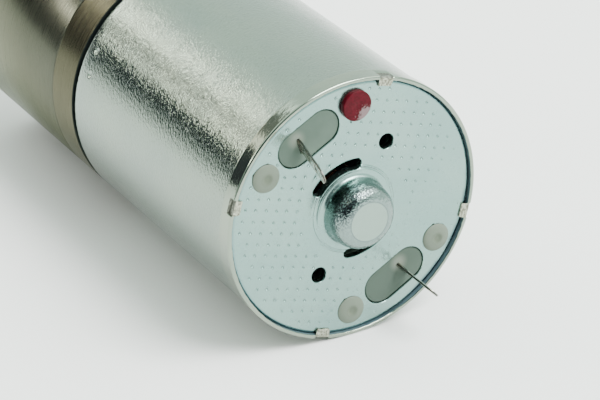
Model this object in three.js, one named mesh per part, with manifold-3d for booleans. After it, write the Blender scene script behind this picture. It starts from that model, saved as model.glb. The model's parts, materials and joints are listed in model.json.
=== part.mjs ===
// A brushed DC motor with a two-stage planetary gearbox on the same axis.
// Units are millimetres. +Y runs along the output shaft, +Z is up, and the origin is the centre of the
// gearbox's front mounting face. Angles are in degrees, from +X towards +Z, as seen from the rear.
import * as THREE from "three";
import { mergeVertices } from "three/addons/utils/BufferGeometryUtils.js";
import Module from "manifold-3d";

const wasm = await Module();
wasm.setup();

// ---- driving dimensions ----

const FIT = 0.1; // radial gap between pieces that fit into each other
const TOUCH = 0.1; // axial gap between pieces that rest on each other
const ROUND = 40; // facets of the large turned pieces
const SHAFT_ROUND = 24; // facets of the output shaft and its bushes
const SMALL_ROUND = 16; // facets of the motor's shaft and bushes
const PIN_ROUND = 12; // facets of pins, screws and their holes
const FINE_ROUND = 10; // facets of the smallest pins and holes

const BODY_RADIUS = 18; // can and gearbox
const COVER_REAR_Y = -6;
const RING_REAR_Y = -29;
const FLANGE_REAR_Y = -35;

const CAN_LENGTH = 44.4;
const CAN_FRONT_Y = FLANGE_REAR_Y - TOUCH;
const RIM_Y = CAN_FRONT_Y - CAN_LENGTH;
const CAN_WALL = 1;
const CAN_CORNER = 2.8; // rounding at the can's front edge
const MOUTH_RADIUS = 18.25;
const MOUTH_LENGTH = 2.4;
const MOUTH_WALL = 0.55;
const BOSS_RADIUS = 5; // the can's front bearing boss
const BOSS_LENGTH = 2;
const BOSS_LIP = 0.7; // between the boss's opening and the rotor shaft

const PLATE_RADIUS = 17.6;
const PLATE_RECESS = 0.36; // from the rim to the plate's rear face
const PLATE_THICKNESS = 1;
const PLATE_REAR_Y = RIM_Y + PLATE_RECESS;
const PLATE_FRONT_Y = PLATE_REAR_Y + PLATE_THICKNESS;
const DOME_RADIUS = 4.55;
const DOME_HEIGHT = 4.2;
const DOME_ROUNDING = 1.8;
const DOME_BORE = 3.5;
const DOME_WALL = 1;
const DOME_FLARE = 0.6; // width of the flare at its foot
const DOME_STEP_RADIUS = 6.1; // the low step round the dome
const DOME_STEP_HEIGHT = 0.25;
const STAKE_ANGLES = [75, 165, 255, 345];
const STAKE_HALF_ANGLE = 3.2;
const STAKE_INNER = 16.85;

const CARD_AXIS = 119.4; // the line through the two terminals' bosses
const CARD_RADIUS = 16.2;
const CARD_BORE = 7.6;
const CARD_REAR_Y = PLATE_FRONT_Y + TOUCH;
const CARD_THICKNESS = 1.8;
const CARD_FRONT_Y = CARD_REAR_Y + CARD_THICKNESS;
const CARD_WALL = 1.2;
const CARD_WALL_HEIGHT = 3;
const OBLONG_CENTRE = 13.1; // from the axis
const OBLONG_HALF = 2.26; // half the distance between its end centres
const OBLONG_END = 2.35; // radius of its ends
const OBLONG_RECESS = 0.12; // below the plate's rear face
const OBLONG_BACK = 0.7; // how far its boss stands out inside
const POST_CENTRE = 14.7;
const POST_SPREAD = 30; // posts stand this far either side of the card's axis
const POST_RADIUS = 1.35;
const POST_HEAD_RADIUS = 2;
const POST_HEAD_HEIGHT = 0.6;
const VENT_CENTRE = 9.67;
const VENT_RADIUS = 1.05;
const SLOT_CENTRE = 6.3;
const SLOT_HALF_WIDTH = 0.68;
const SLOT_ANGLES = [
  [85, 144],
  [265, 324],
];

const TERMINAL_WIDTH = 2.1;
const TERMINAL_THICKNESS = 0.35;
const TERMINAL_HEIGHT = 8.1; // above the plate
const TERMINAL_OFFSET = 1.4; // along the boss, from its middle
const TERMINAL_HOLE_RADIUS = 0.6;
const TERMINAL_HOLE_HEIGHT = 5.4; // above the plate
const TERMINAL_INNER_Y = -72.4;
const BEND_START = 0.6; // above the plate
const TERMINAL_CLEARANCE = 0.65; // from a blade's middle to the middle of its brush arm
const TERMINAL_BENDS = [
  { turn: -12, lean: 1.5 },
  { turn: 14.6, lean: 0 },
]; // degrees, and mm at the tip

const MOTOR_SHAFT_RADIUS = 1.5875;
const RUNNING_GAP = 0.06; // of a shaft in its bush
const STACK_RADIUS = 12;
const STACK_REAR_Y = -63.6;
const STACK_FRONT_Y = -44.6;
const POLES = 5;
const MAGNET_INNER = 12.5;
const MAGNET_OUTER = 16.9;
const MAGNET_REAR_Y = -67;
const MAGNET_FRONT_Y = -41;
const MAGNET_HALF_ANGLE = 65;
const SPRING_HALF_ANGLE = 23.5;
const SPRING_THICKNESS = 0.7;
const SPRING_SHORTER = 2; // than the magnets, at each end
const REAR_BUSH = { rearY: -81.8, frontY: -78.5 };
const FRONT_BUSH = { rearY: -37.8, frontY: -34.2 };
const ROTOR_SHAFT = { rearY: -82, frontY: -22.1 };
const REAR_WASHER = { rearY: -78.3, frontY: -77.2 };
const FRONT_WASHER = { rearY: -43.4, frontY: -38 };
const VARISTOR = { radius: 7, rearY: -69.2, frontY: -68 };
const INSULATOR_THICKNESS = 0.8;
const INSULATOR_STEP = 0.4; // smaller than the stack, in radius
const POLE_HUB_RADIUS = 4.2;
const POLE_NECK_HALF = 1.8;
const POLE_SHOE_THICKNESS = 1.5;
const POLE_GAP_HALF_ANGLE = 5;

const COMMUTATOR_RADIUS = 4;
const COMMUTATOR_REAR_Y = -76.8;
const COMMUTATOR_FRONT_Y = -70;
const BAR_HALF_ANGLE = 32;
const HOOK_HALF_ANGLE = 14;
const HOOK_HEIGHT = 1.6;
const HUB_RADIUS = 3;
const HUB = { rearY: -77, frontY: -67.6 };
const BRUSH_REAR_Y = -75.6;
const BRUSH_FRONT_Y = -71.6;
const BRUSH_BACK = 7.2; // from the axis to the back of the brush
const BRUSH_HALF_WIDTH = 1.5;
const BRUSH_HALF_ANGLE = 21; // of the face that rests on the commutator
const ARM_THICKNESS = 0.25;
const ARM_WELD_X = 14; // where the arm starts, from the axis
const ARM_PEAK = 7.2; // height of the middle of its hairpin
const ARM_TAIL = -2; // where it ends behind the brush
const COIL_INNER = 5.2; // from the axis
const COIL_DEPTH = 3.7;
const COIL_INSIDE_HALF = 2;
const COIL_OUTSIDE_HALF = 3.4;
const COIL_OVERHANG = 1; // of its opening past the stack
const COIL_END_WIDTH = 2.2;

const MODULE = 0.75;
const PRESSURE_ANGLE = 25;
const SUN_TEETH = 12;
const PLANET_TEETH = 12;
const RING_TEETH = 36;
const TOOTH_THINNING = 0.05; // taken off each flank
const CENTRE_DISTANCE = (MODULE * (SUN_TEETH + PLANET_TEETH)) / 2;
const PLANET_ANGLES = [90, 210, 330];
const PIN_RADIUS = 1.5;
const PIN_SHORTER = 0.4; // than the carrier's plate at its front
const CARRIER_RADIUS = 12.3;
const TOOTH_ROOT = 1.25; // depth below the pitch circle, in modules

const OUTPUT_RADIUS = 4;
const OUTPUT_END_Y = 22;
const GROOVE_REAR_Y = 2.8; // the circlip's groove
const GROOVE_FRONT_Y = 3.8;
const GROOVE_DEPTH = 0.3;
const FLAT_LENGTH = 15;
const FLAT_DEPTH = 1; // leaves 7 mm across the flat
const PILOT_RADIUS = 11;
const PILOT_LENGTH = 2.5;
const BUSH_REAR = { radius: 7, rearY: -7.3, frontY: -2.3 };
const BUSH_FRONT = { radius: 6, rearY: -1.4, frontY: 2.4 };
const SPIGOT_REAR_Y = -7.8; // the cover's rim inside the ring gear
const SPIGOT_RADIUS = 12;
const CIRCLIP_RADIUS = 5.5;
const CIRCLIP_MOUTH_HALF_ANGLE = 20;
const CIRCLIP_GRIP = 0.2; // into the groove
const SHANK_RADIUS = 2.8; // of the second sun gear, in its carrier
const SECOND_SUN_BORE = 1;
const THRUST_WASHER_RADIUS = 7;
const THRUST_WASHER_THICKNESS = 0.7;
const STAGE1_GEARS = { rearY: -28, frontY: -22 };
const STAGE1_PLATE = { rearY: -21.7, frontY: -19.4 };
const STAGE2_GEARS = { rearY: -19, frontY: -12 };
const STAGE2_PLATE = { rearY: -11.6, frontY: -8.2 };
const MOUNT_HOLE_CIRCLE = 14;
const MOUNT_HOLE_RADIUS = 1.25;
const MOUNT_HOLE_ANGLES = [45, 135, 225, 315];
const MOUNT_HOLE_BOTTOM_Y = -5;
const COVER_SCREW_CIRCLE = 16;
const COVER_SCREW_RADIUS = 1;
const COVER_SCREW_ANGLES = [0, 90, 180, 270];
const COVER_SCREW_HEAD = 1.8;
const COVER_SCREW_HEAD_HEIGHT = 1.3;
const COVER_SCREW_TOP_Y = -0.2;
const COVER_SCREW_TIP_Y = -33.2;
const MOTOR_SCREW_CIRCLE = 12.5;
const MOTOR_SCREW_RADIUS = 1.5;
const MOTOR_SCREW_HEAD = 2.6;
const MOTOR_SCREW_HEAD_HEIGHT = 1.8;
const MOTOR_SCREW_TOP_Y = -29.4;
const MOTOR_SCREW_TIP_Y = -37.4;
const MOTOR_SCREW_ANGLES = [45, 225];
const EDGE_CHAMFER = 0.5;
const CLEAR = 1; // how far a cutting tool stands out past the piece

// ---- materials ----

function finish(color, roughness, metalness) {
  return new THREE.MeshStandardMaterial({ color, roughness, metalness });
}

const finishes = {
  zincPlate: () => finish(0xb9beb8, 0.35, 0.9),
  endPlate: () => finish(0xb8c6c4, 0.4, 0.8),
  machined: () => finish(0x83837a, 0.35, 0.9),
  flange: () => finish(0x9a8f6e, 0.4, 0.9),
  steel: () => finish(0x9da0a2, 0.3, 0.95),
  gearSteel: () => finish(0x7f8284, 0.35, 0.9),
  screw: () => finish(0x2d2f31, 0.45, 0.8),
  nylon: () => finish(0x96a39d, 0.5, 0),
  tin: () => finish(0xc9cac2, 0.3, 0.9),
  bronze: () => finish(0xa9824f, 0.5, 0.8),
  springBronze: () => finish(0xb58a52, 0.35, 0.9),
  carbon: () => finish(0x2b2b2c, 0.7, 0.1),
  ferrite: () => finish(0x3a3b3d, 0.7, 0.1),
  lamination: () => finish(0x6d7072, 0.5, 0.8),
  copper: () => finish(0xb4643a, 0.3, 0.9),
  enamel: () => finish(0x9c4a24, 0.35, 0.6),
  phenolic: () => finish(0x3b2a20, 0.6, 0),
  insulator: () => finish(0xd9d6c8, 0.6, 0),
  ceramic: () => finish(0x24262a, 0.6, 0),
};

// ---- building blocks ----

const radians = THREE.MathUtils.degToRad;

function polar(radius, degrees) {
  const angle = radians(degrees);
  return new THREE.Vector2(radius * Math.cos(angle), radius * Math.sin(angle));
}

// Points of an arc about a centre, both ends included.
function arc(cx, cy, radius, fromDegrees, toDegrees, steps) {
  const points = [];
  for (let i = 0; i <= steps; i++) {
    const at = polar(radius, fromDegrees + ((toDegrees - fromDegrees) * i) / steps);
    points.push(new THREE.Vector2(cx + at.x, cy + at.y));
  }
  return points;
}

function pairs(...list) {
  return list.map(([x, y]) => new THREE.Vector2(x, y));
}

// A solid of revolution about the Y axis. The profile holds (radius, y) points and runs anticlockwise.
function turned(profile, facets = ROUND) {
  return new THREE.LatheGeometry(profile, facets);
}

function rod(radius, rearY, frontY, facets = SMALL_ROUND) {
  return turned(pairs([0, rearY], [radius, rearY], [radius, frontY], [0, frontY]), facets);
}

function sleeve(inner, outer, rearY, frontY, facets = ROUND) {
  return turned(
    pairs([inner, rearY], [outer, rearY], [outer, frontY], [inner, frontY], [inner, rearY]),
    facets,
  );
}

// An outline drawn in (x, z) as seen from the rear, with its thickness from rearY to frontY.
function slab(shape, rearY, frontY) {
  const geometry = new THREE.ExtrudeGeometry(shape, {
    depth: frontY - rearY,
    bevelEnabled: false,
    curveSegments: 1,
  });
  geometry.rotateX(Math.PI / 2);
  geometry.translate(0, frontY, 0);
  return geometry;
}

function movedTo(geometry, at) {
  return geometry.translate(at.x, 0, at.y);
}

// Turns a piece about the Y axis by an angle as seen from the rear.
function turnedBy(geometry, degrees) {
  return geometry.rotateY(-radians(degrees));
}

function solidOf(geometry) {
  const bare = geometry.index ? geometry.toNonIndexed() : geometry.clone();
  bare.deleteAttribute("normal");
  bare.deleteAttribute("uv");
  const merged = mergeVertices(bare, 1e-4);
  return new wasm.Manifold(
    new wasm.Mesh({
      numProp: 3,
      vertProperties: merged.attributes.position.array,
      triVerts: new Uint32Array(merged.index.array),
    }),
  );
}

function geometryOf(solid) {
  const mesh = solid.getMesh();
  const geometry = new THREE.BufferGeometry();
  geometry.setAttribute("position", new THREE.BufferAttribute(mesh.vertProperties, 3));
  geometry.setIndex(new THREE.BufferAttribute(mesh.triVerts, 1));
  return geometry;
}

function joined(first, ...others) {
  return geometryOf(others.reduce((sum, next) => sum.add(solidOf(next)), solidOf(first)));
}

function cutBy(first, ...tools) {
  return geometryOf(tools.reduce((rest, tool) => rest.subtract(solidOf(tool)), solidOf(first)));
}

// ---- outlines ----

function circlePath(centre, radius, facets = SMALL_ROUND) {
  const points = arc(centre.x, centre.y, radius, 0, 360, facets);
  points.pop();
  return points;
}

function disc(radius, facets = ROUND) {
  return new THREE.Shape(circlePath(new THREE.Vector2(), radius, facets));
}

// A piece of a ring between two radii and two angles.
function arcShape(inner, outer, fromDegrees, toDegrees, steps) {
  return new THREE.Shape([
    ...arc(0, 0, outer, fromDegrees, toDegrees, steps),
    ...arc(0, 0, inner, toDegrees, fromDegrees, steps),
  ]);
}

// An arc slot with round ends.
function slotPath(centreRadius, halfWidth, fromDegrees, toDegrees) {
  const endSteps = 4;
  const sideSteps = 6;
  const from = polar(centreRadius, fromDegrees);
  const to = polar(centreRadius, toDegrees);
  return [
    ...arc(0, 0, centreRadius + halfWidth, fromDegrees, toDegrees, sideSteps),
    ...arc(to.x, to.y, halfWidth, toDegrees, toDegrees + 180, endSteps).slice(1, -1),
    ...arc(0, 0, centreRadius - halfWidth, toDegrees, fromDegrees, sideSteps),
    ...arc(from.x, from.y, halfWidth, fromDegrees - 180, fromDegrees, endSteps).slice(1, -1),
  ];
}

// An oblong across the card's axis, at one of its two ends.
function oblongPath(side, grow) {
  const axis = CARD_AXIS + 180 * side;
  const middle = polar(OBLONG_CENTRE, axis);
  const along = polar(OBLONG_HALF, axis + 90);
  const radius = OBLONG_END + grow;
  return [
    ...arc(middle.x + along.x, middle.y + along.y, radius, axis, axis + 180, 6),
    ...arc(middle.x - along.x, middle.y - along.y, radius, axis + 180, axis + 360, 6),
  ];
}

function postCentres() {
  const turns = [-POST_SPREAD, POST_SPREAD, 180 - POST_SPREAD, 180 + POST_SPREAD];
  return turns.map((turn) => polar(POST_CENTRE, CARD_AXIS + turn));
}

function ventCentres() {
  return [CARD_AXIS - 60, CARD_AXIS + 120].map((angle) => polar(VENT_CENTRE, angle));
}

// The outline of a gear with involute teeth, with a tooth in the middle of angle 0.
function gearPath(teeth, rootRadius, tipRadius, thinning) {
  const alpha = radians(PRESSURE_ANGLE);
  const pitchRadius = (MODULE * teeth) / 2;
  const baseRadius = pitchRadius * Math.cos(alpha);
  const involute = (angle) => Math.tan(angle) - angle;
  const halfAtPitch = Math.PI / (2 * teeth) - thinning / pitchRadius;
  const halfAt = (radius) => {
    const pressure = Math.acos(Math.min(1, baseRadius / radius));
    return halfAtPitch + involute(alpha) - involute(pressure);
  };
  const startRadius = Math.max(rootRadius, baseRadius);
  const share = rootRadius < baseRadius ? 0.25 : 0.5;
  const flank = [rootRadius, startRadius + share * (tipRadius - startRadius), tipRadius];
  const points = [];
  for (let tooth = 0; tooth < teeth; tooth++) {
    const middle = (2 * Math.PI * tooth) / teeth;
    const at = (radius, side) => {
      const angle = middle + side * halfAt(radius);
      points.push(new THREE.Vector2(radius * Math.cos(angle), radius * Math.sin(angle)));
    };
    flank.forEach((radius) => at(radius, -1));
    flank.toReversed().forEach((radius) => at(radius, 1));
  }
  return points;
}

function rotatedPath(points, degrees) {
  return points.map((point) => point.clone().rotateAround(new THREE.Vector2(), radians(degrees)));
}

// ---- motor: can, end plate and brush card ----

function motorCan() {
  const inner = BODY_RADIUS - CAN_WALL;
  const seat = MOUTH_RADIUS - MOUTH_WALL;
  const wallY = CAN_FRONT_Y - CAN_WALL;
  const bossY = CAN_FRONT_Y + BOSS_LENGTH;
  const ledgeY = PLATE_FRONT_Y + TOUCH;
  const lip = MOTOR_SHAFT_RADIUS + BOSS_LIP;
  const bend = 1; // inside the front edge
  const step = 0.2; // along the axis, behind the mouth
  const stakeRoot = 0.3; // how far a stake reaches into the wall
  const shell = turned([
    ...pairs([MOUTH_RADIUS, RIM_Y], [MOUTH_RADIUS, RIM_Y + MOUTH_LENGTH]),
    ...pairs([BODY_RADIUS, RIM_Y + MOUTH_LENGTH + step]),
    ...arc(BODY_RADIUS - CAN_CORNER, CAN_FRONT_Y - CAN_CORNER, CAN_CORNER, 0, 90, 5),
    ...pairs([BOSS_RADIUS, CAN_FRONT_Y], [BOSS_RADIUS, bossY], [lip, bossY]),
    ...pairs([lip, bossY - CAN_WALL], [BOSS_RADIUS - CAN_WALL, bossY - CAN_WALL]),
    ...pairs([BOSS_RADIUS - CAN_WALL, wallY], [inner - bend, wallY], [inner, wallY - bend]),
    ...pairs([inner, ledgeY], [seat, ledgeY], [seat, RIM_Y], [MOUTH_RADIUS, RIM_Y]),
  ]);
  const stakes = STAKE_ANGLES.map((angle) => {
    const [from, to] = [angle - STAKE_HALF_ANGLE, angle + STAKE_HALF_ANGLE];
    const shape = arcShape(STAKE_INNER, seat + stakeRoot, from, to, 2);
    return slab(shape, RIM_Y, PLATE_REAR_Y - TOUCH / 2);
  });
  const screwHoles = MOTOR_SCREW_ANGLES.map((angle) => {
    const hole = rod(MOTOR_SCREW_RADIUS + FIT, wallY - CLEAR, CAN_FRONT_Y + CLEAR, PIN_ROUND);
    return movedTo(hole, polar(MOTOR_SCREW_CIRCLE, angle));
  });
  return cutBy(joined(shell, ...stakes), ...screwHoles);
}

function endPlate() {
  const topY = PLATE_REAR_Y - DOME_HEIGHT;
  const flatRadius = DOME_RADIUS - DOME_ROUNDING;
  const stepY = PLATE_REAR_Y - DOME_STEP_HEIGHT;
  const stepSlope = 0.2;
  const pressing = turned([
    new THREE.Vector2(0, topY),
    ...arc(flatRadius, topY + DOME_ROUNDING, DOME_ROUNDING, -90, 0, 5),
    ...pairs([DOME_RADIUS, stepY - DOME_FLARE], [DOME_RADIUS + DOME_FLARE, stepY]),
    ...pairs([DOME_STEP_RADIUS - stepSlope, stepY], [DOME_STEP_RADIUS, PLATE_REAR_Y]),
    ...pairs([PLATE_RADIUS, PLATE_REAR_Y], [PLATE_RADIUS, PLATE_FRONT_Y]),
    ...pairs([DOME_BORE, PLATE_FRONT_Y], [DOME_BORE, topY + DOME_WALL], [0, topY + DOME_WALL]),
  ]);
  const openings = [
    ...SLOT_ANGLES.map(([from, to]) => slotPath(SLOT_CENTRE, SLOT_HALF_WIDTH, from, to)),
    ...ventCentres().map((centre) => circlePath(centre, VENT_RADIUS, PIN_ROUND)),
    ...postCentres().map((centre) => circlePath(centre, POST_RADIUS + FIT, FINE_ROUND)),
    ...[0, 1].map((side) => oblongPath(side, FIT)),
  ];
  const [rearY, frontY] = [PLATE_REAR_Y - CLEAR, PLATE_FRONT_Y + CLEAR];
  const tools = openings.map((path) => slab(new THREE.Shape(path), rearY, frontY));
  return cutBy(pressing, ...tools);
}

// A post through the plate, with its staked head on the plate's rear face.
function stakedPost(centre) {
  const headY = PLATE_REAR_Y - TOUCH / 2;
  const topY = headY - POST_HEAD_HEIGHT;
  const rounding = 0.4;
  const innerY = CARD_REAR_Y + CARD_THICKNESS / 2;
  const profile = [
    ...pairs([0, topY], [POST_HEAD_RADIUS - rounding, topY], [POST_HEAD_RADIUS, topY + rounding]),
    ...pairs([POST_HEAD_RADIUS, headY], [POST_RADIUS, headY], [POST_RADIUS, innerY], [0, innerY]),
  ];
  return movedTo(turned(profile, FINE_ROUND), centre);
}

function brushCard() {
  const sheet = disc(CARD_RADIUS);
  sheet.holes.push(new THREE.Path(circlePath(new THREE.Vector2(), CARD_BORE, SHAFT_ROUND)));
  const base = slab(sheet, CARD_REAR_Y, CARD_FRONT_Y);
  const wallY = [CARD_FRONT_Y - TOUCH, CARD_FRONT_Y + CARD_WALL_HEIGHT];
  const wall = sleeve(CARD_RADIUS - CARD_WALL, CARD_RADIUS, ...wallY);
  const oblongs = [0, 1].map((side) =>
    slab(new THREE.Shape(oblongPath(side, 0)), PLATE_REAR_Y + OBLONG_RECESS, CARD_FRONT_Y + OBLONG_BACK),
  );
  const vents = ventCentres().map((centre) =>
    movedTo(rod(2 * VENT_RADIUS, CARD_REAR_Y - CLEAR, CARD_FRONT_Y + CLEAR, PIN_ROUND), centre),
  );
  const depth = 2 * (CARD_FRONT_Y - PLATE_REAR_Y + CARD_WALL_HEIGHT);
  const bladeSlots = [0, 1].map((side) => {
    const tool = new THREE.BoxGeometry(TERMINAL_WIDTH + 2 * FIT, depth, TERMINAL_THICKNESS + 2 * FIT);
    return setAsTerminal(tool.translate(0, CARD_FRONT_Y, 0), side);
  });
  return cutBy(joined(base, wall, ...oblongs, ...postCentres().map(stakedPost)), ...vents, ...bladeSlots);
}

// Turns a blade, or its slot, about its own axis and puts it in its place on the card.
function setAsTerminal(geometry, side) {
  const blade = turnedBy(geometry, TERMINAL_BENDS[side].turn);
  blade.translate(OBLONG_CENTRE, 0, TERMINAL_OFFSET);
  return turnedBy(blade, CARD_AXIS + 180 * side);
}

// A blade with a straight root, and a leaning tip with a round end and a hole for the lead.
function terminal(side) {
  const half = TERMINAL_WIDTH / 2;
  const innerY = TERMINAL_INNER_Y - PLATE_REAR_Y;
  const root = new THREE.BoxGeometry(TERMINAL_WIDTH, innerY + BEND_START, TERMINAL_THICKNESS);
  root.translate(0, (innerY - BEND_START) / 2, 0);
  const outline = new THREE.Shape([
    ...pairs([half, -BEND_START], [-half, -BEND_START]),
    ...arc(0, half - TERMINAL_HEIGHT, half, 180, 360, 8),
  ]);
  const holeCentre = new THREE.Vector2(0, -TERMINAL_HOLE_HEIGHT);
  outline.holes.push(new THREE.Path(circlePath(holeCentre, TERMINAL_HOLE_RADIUS, FINE_ROUND)));
  const tip = new THREE.ExtrudeGeometry(outline, { depth: TERMINAL_THICKNESS, bevelEnabled: false });
  tip.translate(0, 0, -TERMINAL_THICKNESS / 2);
  const slope = TERMINAL_BENDS[side].lean / (TERMINAL_HEIGHT - BEND_START);
  const position = tip.attributes.position;
  for (let i = 0; i < position.count; i++) {
    const height = -position.getY(i) - BEND_START;
    position.setZ(i, position.getZ(i) + slope * height);
  }
  const whole = joined(root, tip);
  return setAsTerminal(whole.translate(0, PLATE_REAR_Y, 0), side);
}

// A strip of even thickness along a line of points.
function stripShape(line, thickness) {
  const left = [];
  const right = [];
  line.forEach((point, i) => {
    const before = line[Math.max(0, i - 1)];
    const after = line[Math.min(line.length - 1, i + 1)];
    const direction = after.clone().sub(before).normalize();
    const normal = direction.rotateAround(new THREE.Vector2(), Math.PI / 2);
    left.push(point.clone().addScaledVector(normal, thickness / 2));
    right.unshift(point.clone().addScaledVector(normal, -thickness / 2));
  });
  return new THREE.Shape([...right, ...left]);
}

// A hairpin leaf spring from the terminal to the back of the brush.
function brushArm(side) {
  const gap = 0.2; // to the pieces it is fixed to
  const weldOffset = TERMINAL_OFFSET + TERMINAL_CLEARANCE;
  const bend = 0.8;
  const hairpin = 1.7;
  const backX = BRUSH_BACK + gap;
  const outerX = backX + 2 * hairpin;
  const line = [
    ...pairs([ARM_WELD_X, weldOffset]),
    ...arc(outerX + bend, weldOffset + bend, bend, 270, 180, 4),
    ...arc(outerX - hairpin, ARM_PEAK, hairpin, 0, 180, 8),
    ...pairs([backX, ARM_TAIL]),
  ];
  const arm = slab(stripShape(line, ARM_THICKNESS), BRUSH_REAR_Y + gap, BRUSH_FRONT_Y - gap);
  return turnedBy(arm, CARD_AXIS + 180 * side);
}

function carbonBrush(side) {
  const shape = new THREE.Shape([
    ...pairs([BRUSH_BACK, -BRUSH_HALF_WIDTH], [BRUSH_BACK, BRUSH_HALF_WIDTH]),
    ...arc(0, 0, COMMUTATOR_RADIUS + RUNNING_GAP, BRUSH_HALF_ANGLE, -BRUSH_HALF_ANGLE, 6),
  ]);
  return turnedBy(slab(shape, BRUSH_REAR_Y, BRUSH_FRONT_Y), CARD_AXIS + 180 * side);
}

function magnet(side) {
  const middle = CARD_AXIS - 90 + 180 * side;
  const [from, to] = [middle - MAGNET_HALF_ANGLE, middle + MAGNET_HALF_ANGLE];
  return slab(arcShape(MAGNET_INNER, MAGNET_OUTER, from, to, 14), MAGNET_REAR_Y, MAGNET_FRONT_Y);
}

function magnetSpring(side) {
  const middle = CARD_AXIS + 180 * side;
  const [from, to] = [middle - SPRING_HALF_ANGLE, middle + SPRING_HALF_ANGLE];
  const shape = arcShape(MAGNET_OUTER - SPRING_THICKNESS, MAGNET_OUTER, from, to, 8);
  return slab(shape, MAGNET_REAR_Y + SPRING_SHORTER, MAGNET_FRONT_Y - SPRING_SHORTER);
}

// ---- rotor ----

function poleAngle(pole) {
  return (360 * pole) / POLES + 90;
}

// T-shaped poles on a hub, the outline of a lamination.
function laminationShape(radius) {
  const shoeHalfAngle = 180 / POLES - POLE_GAP_HALF_ANGLE;
  const shoeInner = radius - POLE_SHOE_THICKNESS;
  const fillet = 0.6;
  const side = [
    ...pairs([POLE_HUB_RADIUS, POLE_NECK_HALF], [shoeInner - fillet, POLE_NECK_HALF]),
    polar(shoeInner, shoeHalfAngle),
    polar(radius, shoeHalfAngle),
  ];
  const mirrored = side.map((point) => new THREE.Vector2(point.x, -point.y));
  const crown = arc(0, 0, radius, -shoeHalfAngle, shoeHalfAngle, 5).slice(1, -1);
  const tooth = [...mirrored, ...crown, ...side.toReversed()];
  const points = [];
  for (let pole = 0; pole < POLES; pole++) points.push(...rotatedPath(tooth, poleAngle(pole)));
  const shape = new THREE.Shape(points);
  shape.holes.push(new THREE.Path(circlePath(new THREE.Vector2(), MOTOR_SHAFT_RADIUS + FIT, PIN_ROUND)));
  return shape;
}

// A closed winding round one pole, with its straight sides in the slots.
function windingCoil(pole) {
  const end = (STACK_FRONT_Y - STACK_REAR_Y) / 2 + COIL_OVERHANG;
  const half = COIL_INSIDE_HALF;
  const corner = 1.2;
  const [x, y] = [COIL_OUTSIDE_HALF - corner, end + COIL_END_WIDTH - corner];
  const ring = new THREE.Shape([
    ...arc(x, y, corner, 0, 90, 3),
    ...arc(-x, y, corner, 90, 180, 3),
    ...arc(-x, -y, corner, 180, 270, 3),
    ...arc(x, -y, corner, 270, 360, 3),
  ]);
  ring.holes.push(new THREE.Path(pairs([-half, -end], [-half, end], [half, end], [half, -end])));
  const coil = new THREE.ExtrudeGeometry(ring, { depth: COIL_DEPTH, bevelEnabled: false });
  coil.rotateY(Math.PI / 2);
  coil.translate(COIL_INNER, (STACK_FRONT_Y + STACK_REAR_Y) / 2, 0);
  return turnedBy(coil, poleAngle(pole));
}

// A commutator segment with the riser that its winding is hooked to.
function commutatorBar(index) {
  const middle = poleAngle(index) + 180 / POLES;
  const inner = HUB_RADIUS + FIT;
  const outer = COMMUTATOR_RADIUS + HOOK_HEIGHT;
  const half = 0.45; // of the hook's thickness
  const segment = arcShape(inner, COMMUTATOR_RADIUS, middle - BAR_HALF_ANGLE, middle + BAR_HALF_ANGLE, 6);
  const hook = arcShape(inner, outer, middle - HOOK_HALF_ANGLE, middle + HOOK_HALF_ANGLE, 3);
  return joined(
    slab(segment, COMMUTATOR_REAR_Y, COMMUTATOR_FRONT_Y),
    slab(hook, COMMUTATOR_FRONT_Y - half, COMMUTATOR_FRONT_Y + half),
  );
}

// ---- gearbox ----

function pinCentres() {
  return PLANET_ANGLES.map((angle) => polar(CENTRE_DISTANCE, angle));
}

function coverScrewCentres() {
  return COVER_SCREW_ANGLES.map((angle) => polar(COVER_SCREW_CIRCLE, angle));
}

function externalGear(teeth, bore, { rearY, frontY }, turn) {
  const pitchRadius = (MODULE * teeth) / 2;
  const rootRadius = pitchRadius - TOOTH_ROOT * MODULE;
  const path = gearPath(teeth, rootRadius, pitchRadius + MODULE, TOOTH_THINNING);
  const shape = new THREE.Shape(rotatedPath(path, turn));
  shape.holes.push(new THREE.Path(circlePath(new THREE.Vector2(), bore, PIN_ROUND)));
  return slab(shape, rearY, frontY);
}

// A planet has a tooth that points away from the main axis.
function planet(index, stage) {
  const gear = externalGear(PLANET_TEETH, PIN_RADIUS + FIT, stage, PLANET_ANGLES[index]);
  return movedTo(gear, pinCentres()[index]);
}

// A sun gear has a space that faces each planet.
function sunGear(bore, stage) {
  return externalGear(SUN_TEETH, bore, stage, PLANET_ANGLES[0] + 180 / SUN_TEETH);
}

function secondSunGear() {
  const { rearY, frontY } = STAGE1_PLATE;
  const shank = sleeve(SECOND_SUN_BORE, SHANK_RADIUS, rearY + TOUCH, STAGE2_GEARS.rearY, PIN_ROUND);
  const teeth = sunGear(SECOND_SUN_BORE, { rearY: frontY + TOUCH, frontY: STAGE2_GEARS.frontY });
  return joined(teeth, shank);
}

function ringGear() {
  const pitchRadius = (MODULE * RING_TEETH) / 2;
  const rootRadius = pitchRadius + TOOTH_ROOT * MODULE;
  const spaces = gearPath(RING_TEETH, pitchRadius - MODULE, rootRadius, -TOOTH_THINNING);
  const shape = disc(BODY_RADIUS);
  shape.holes.push(new THREE.Path(rotatedPath(spaces, PLANET_ANGLES[0])));
  for (const centre of coverScrewCentres()) {
    shape.holes.push(new THREE.Path(circlePath(centre, COVER_SCREW_RADIUS + FIT, FINE_ROUND)));
  }
  return slab(shape, RING_REAR_Y + TOUCH / 2, COVER_REAR_Y - TOUCH / 2);
}

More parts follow.
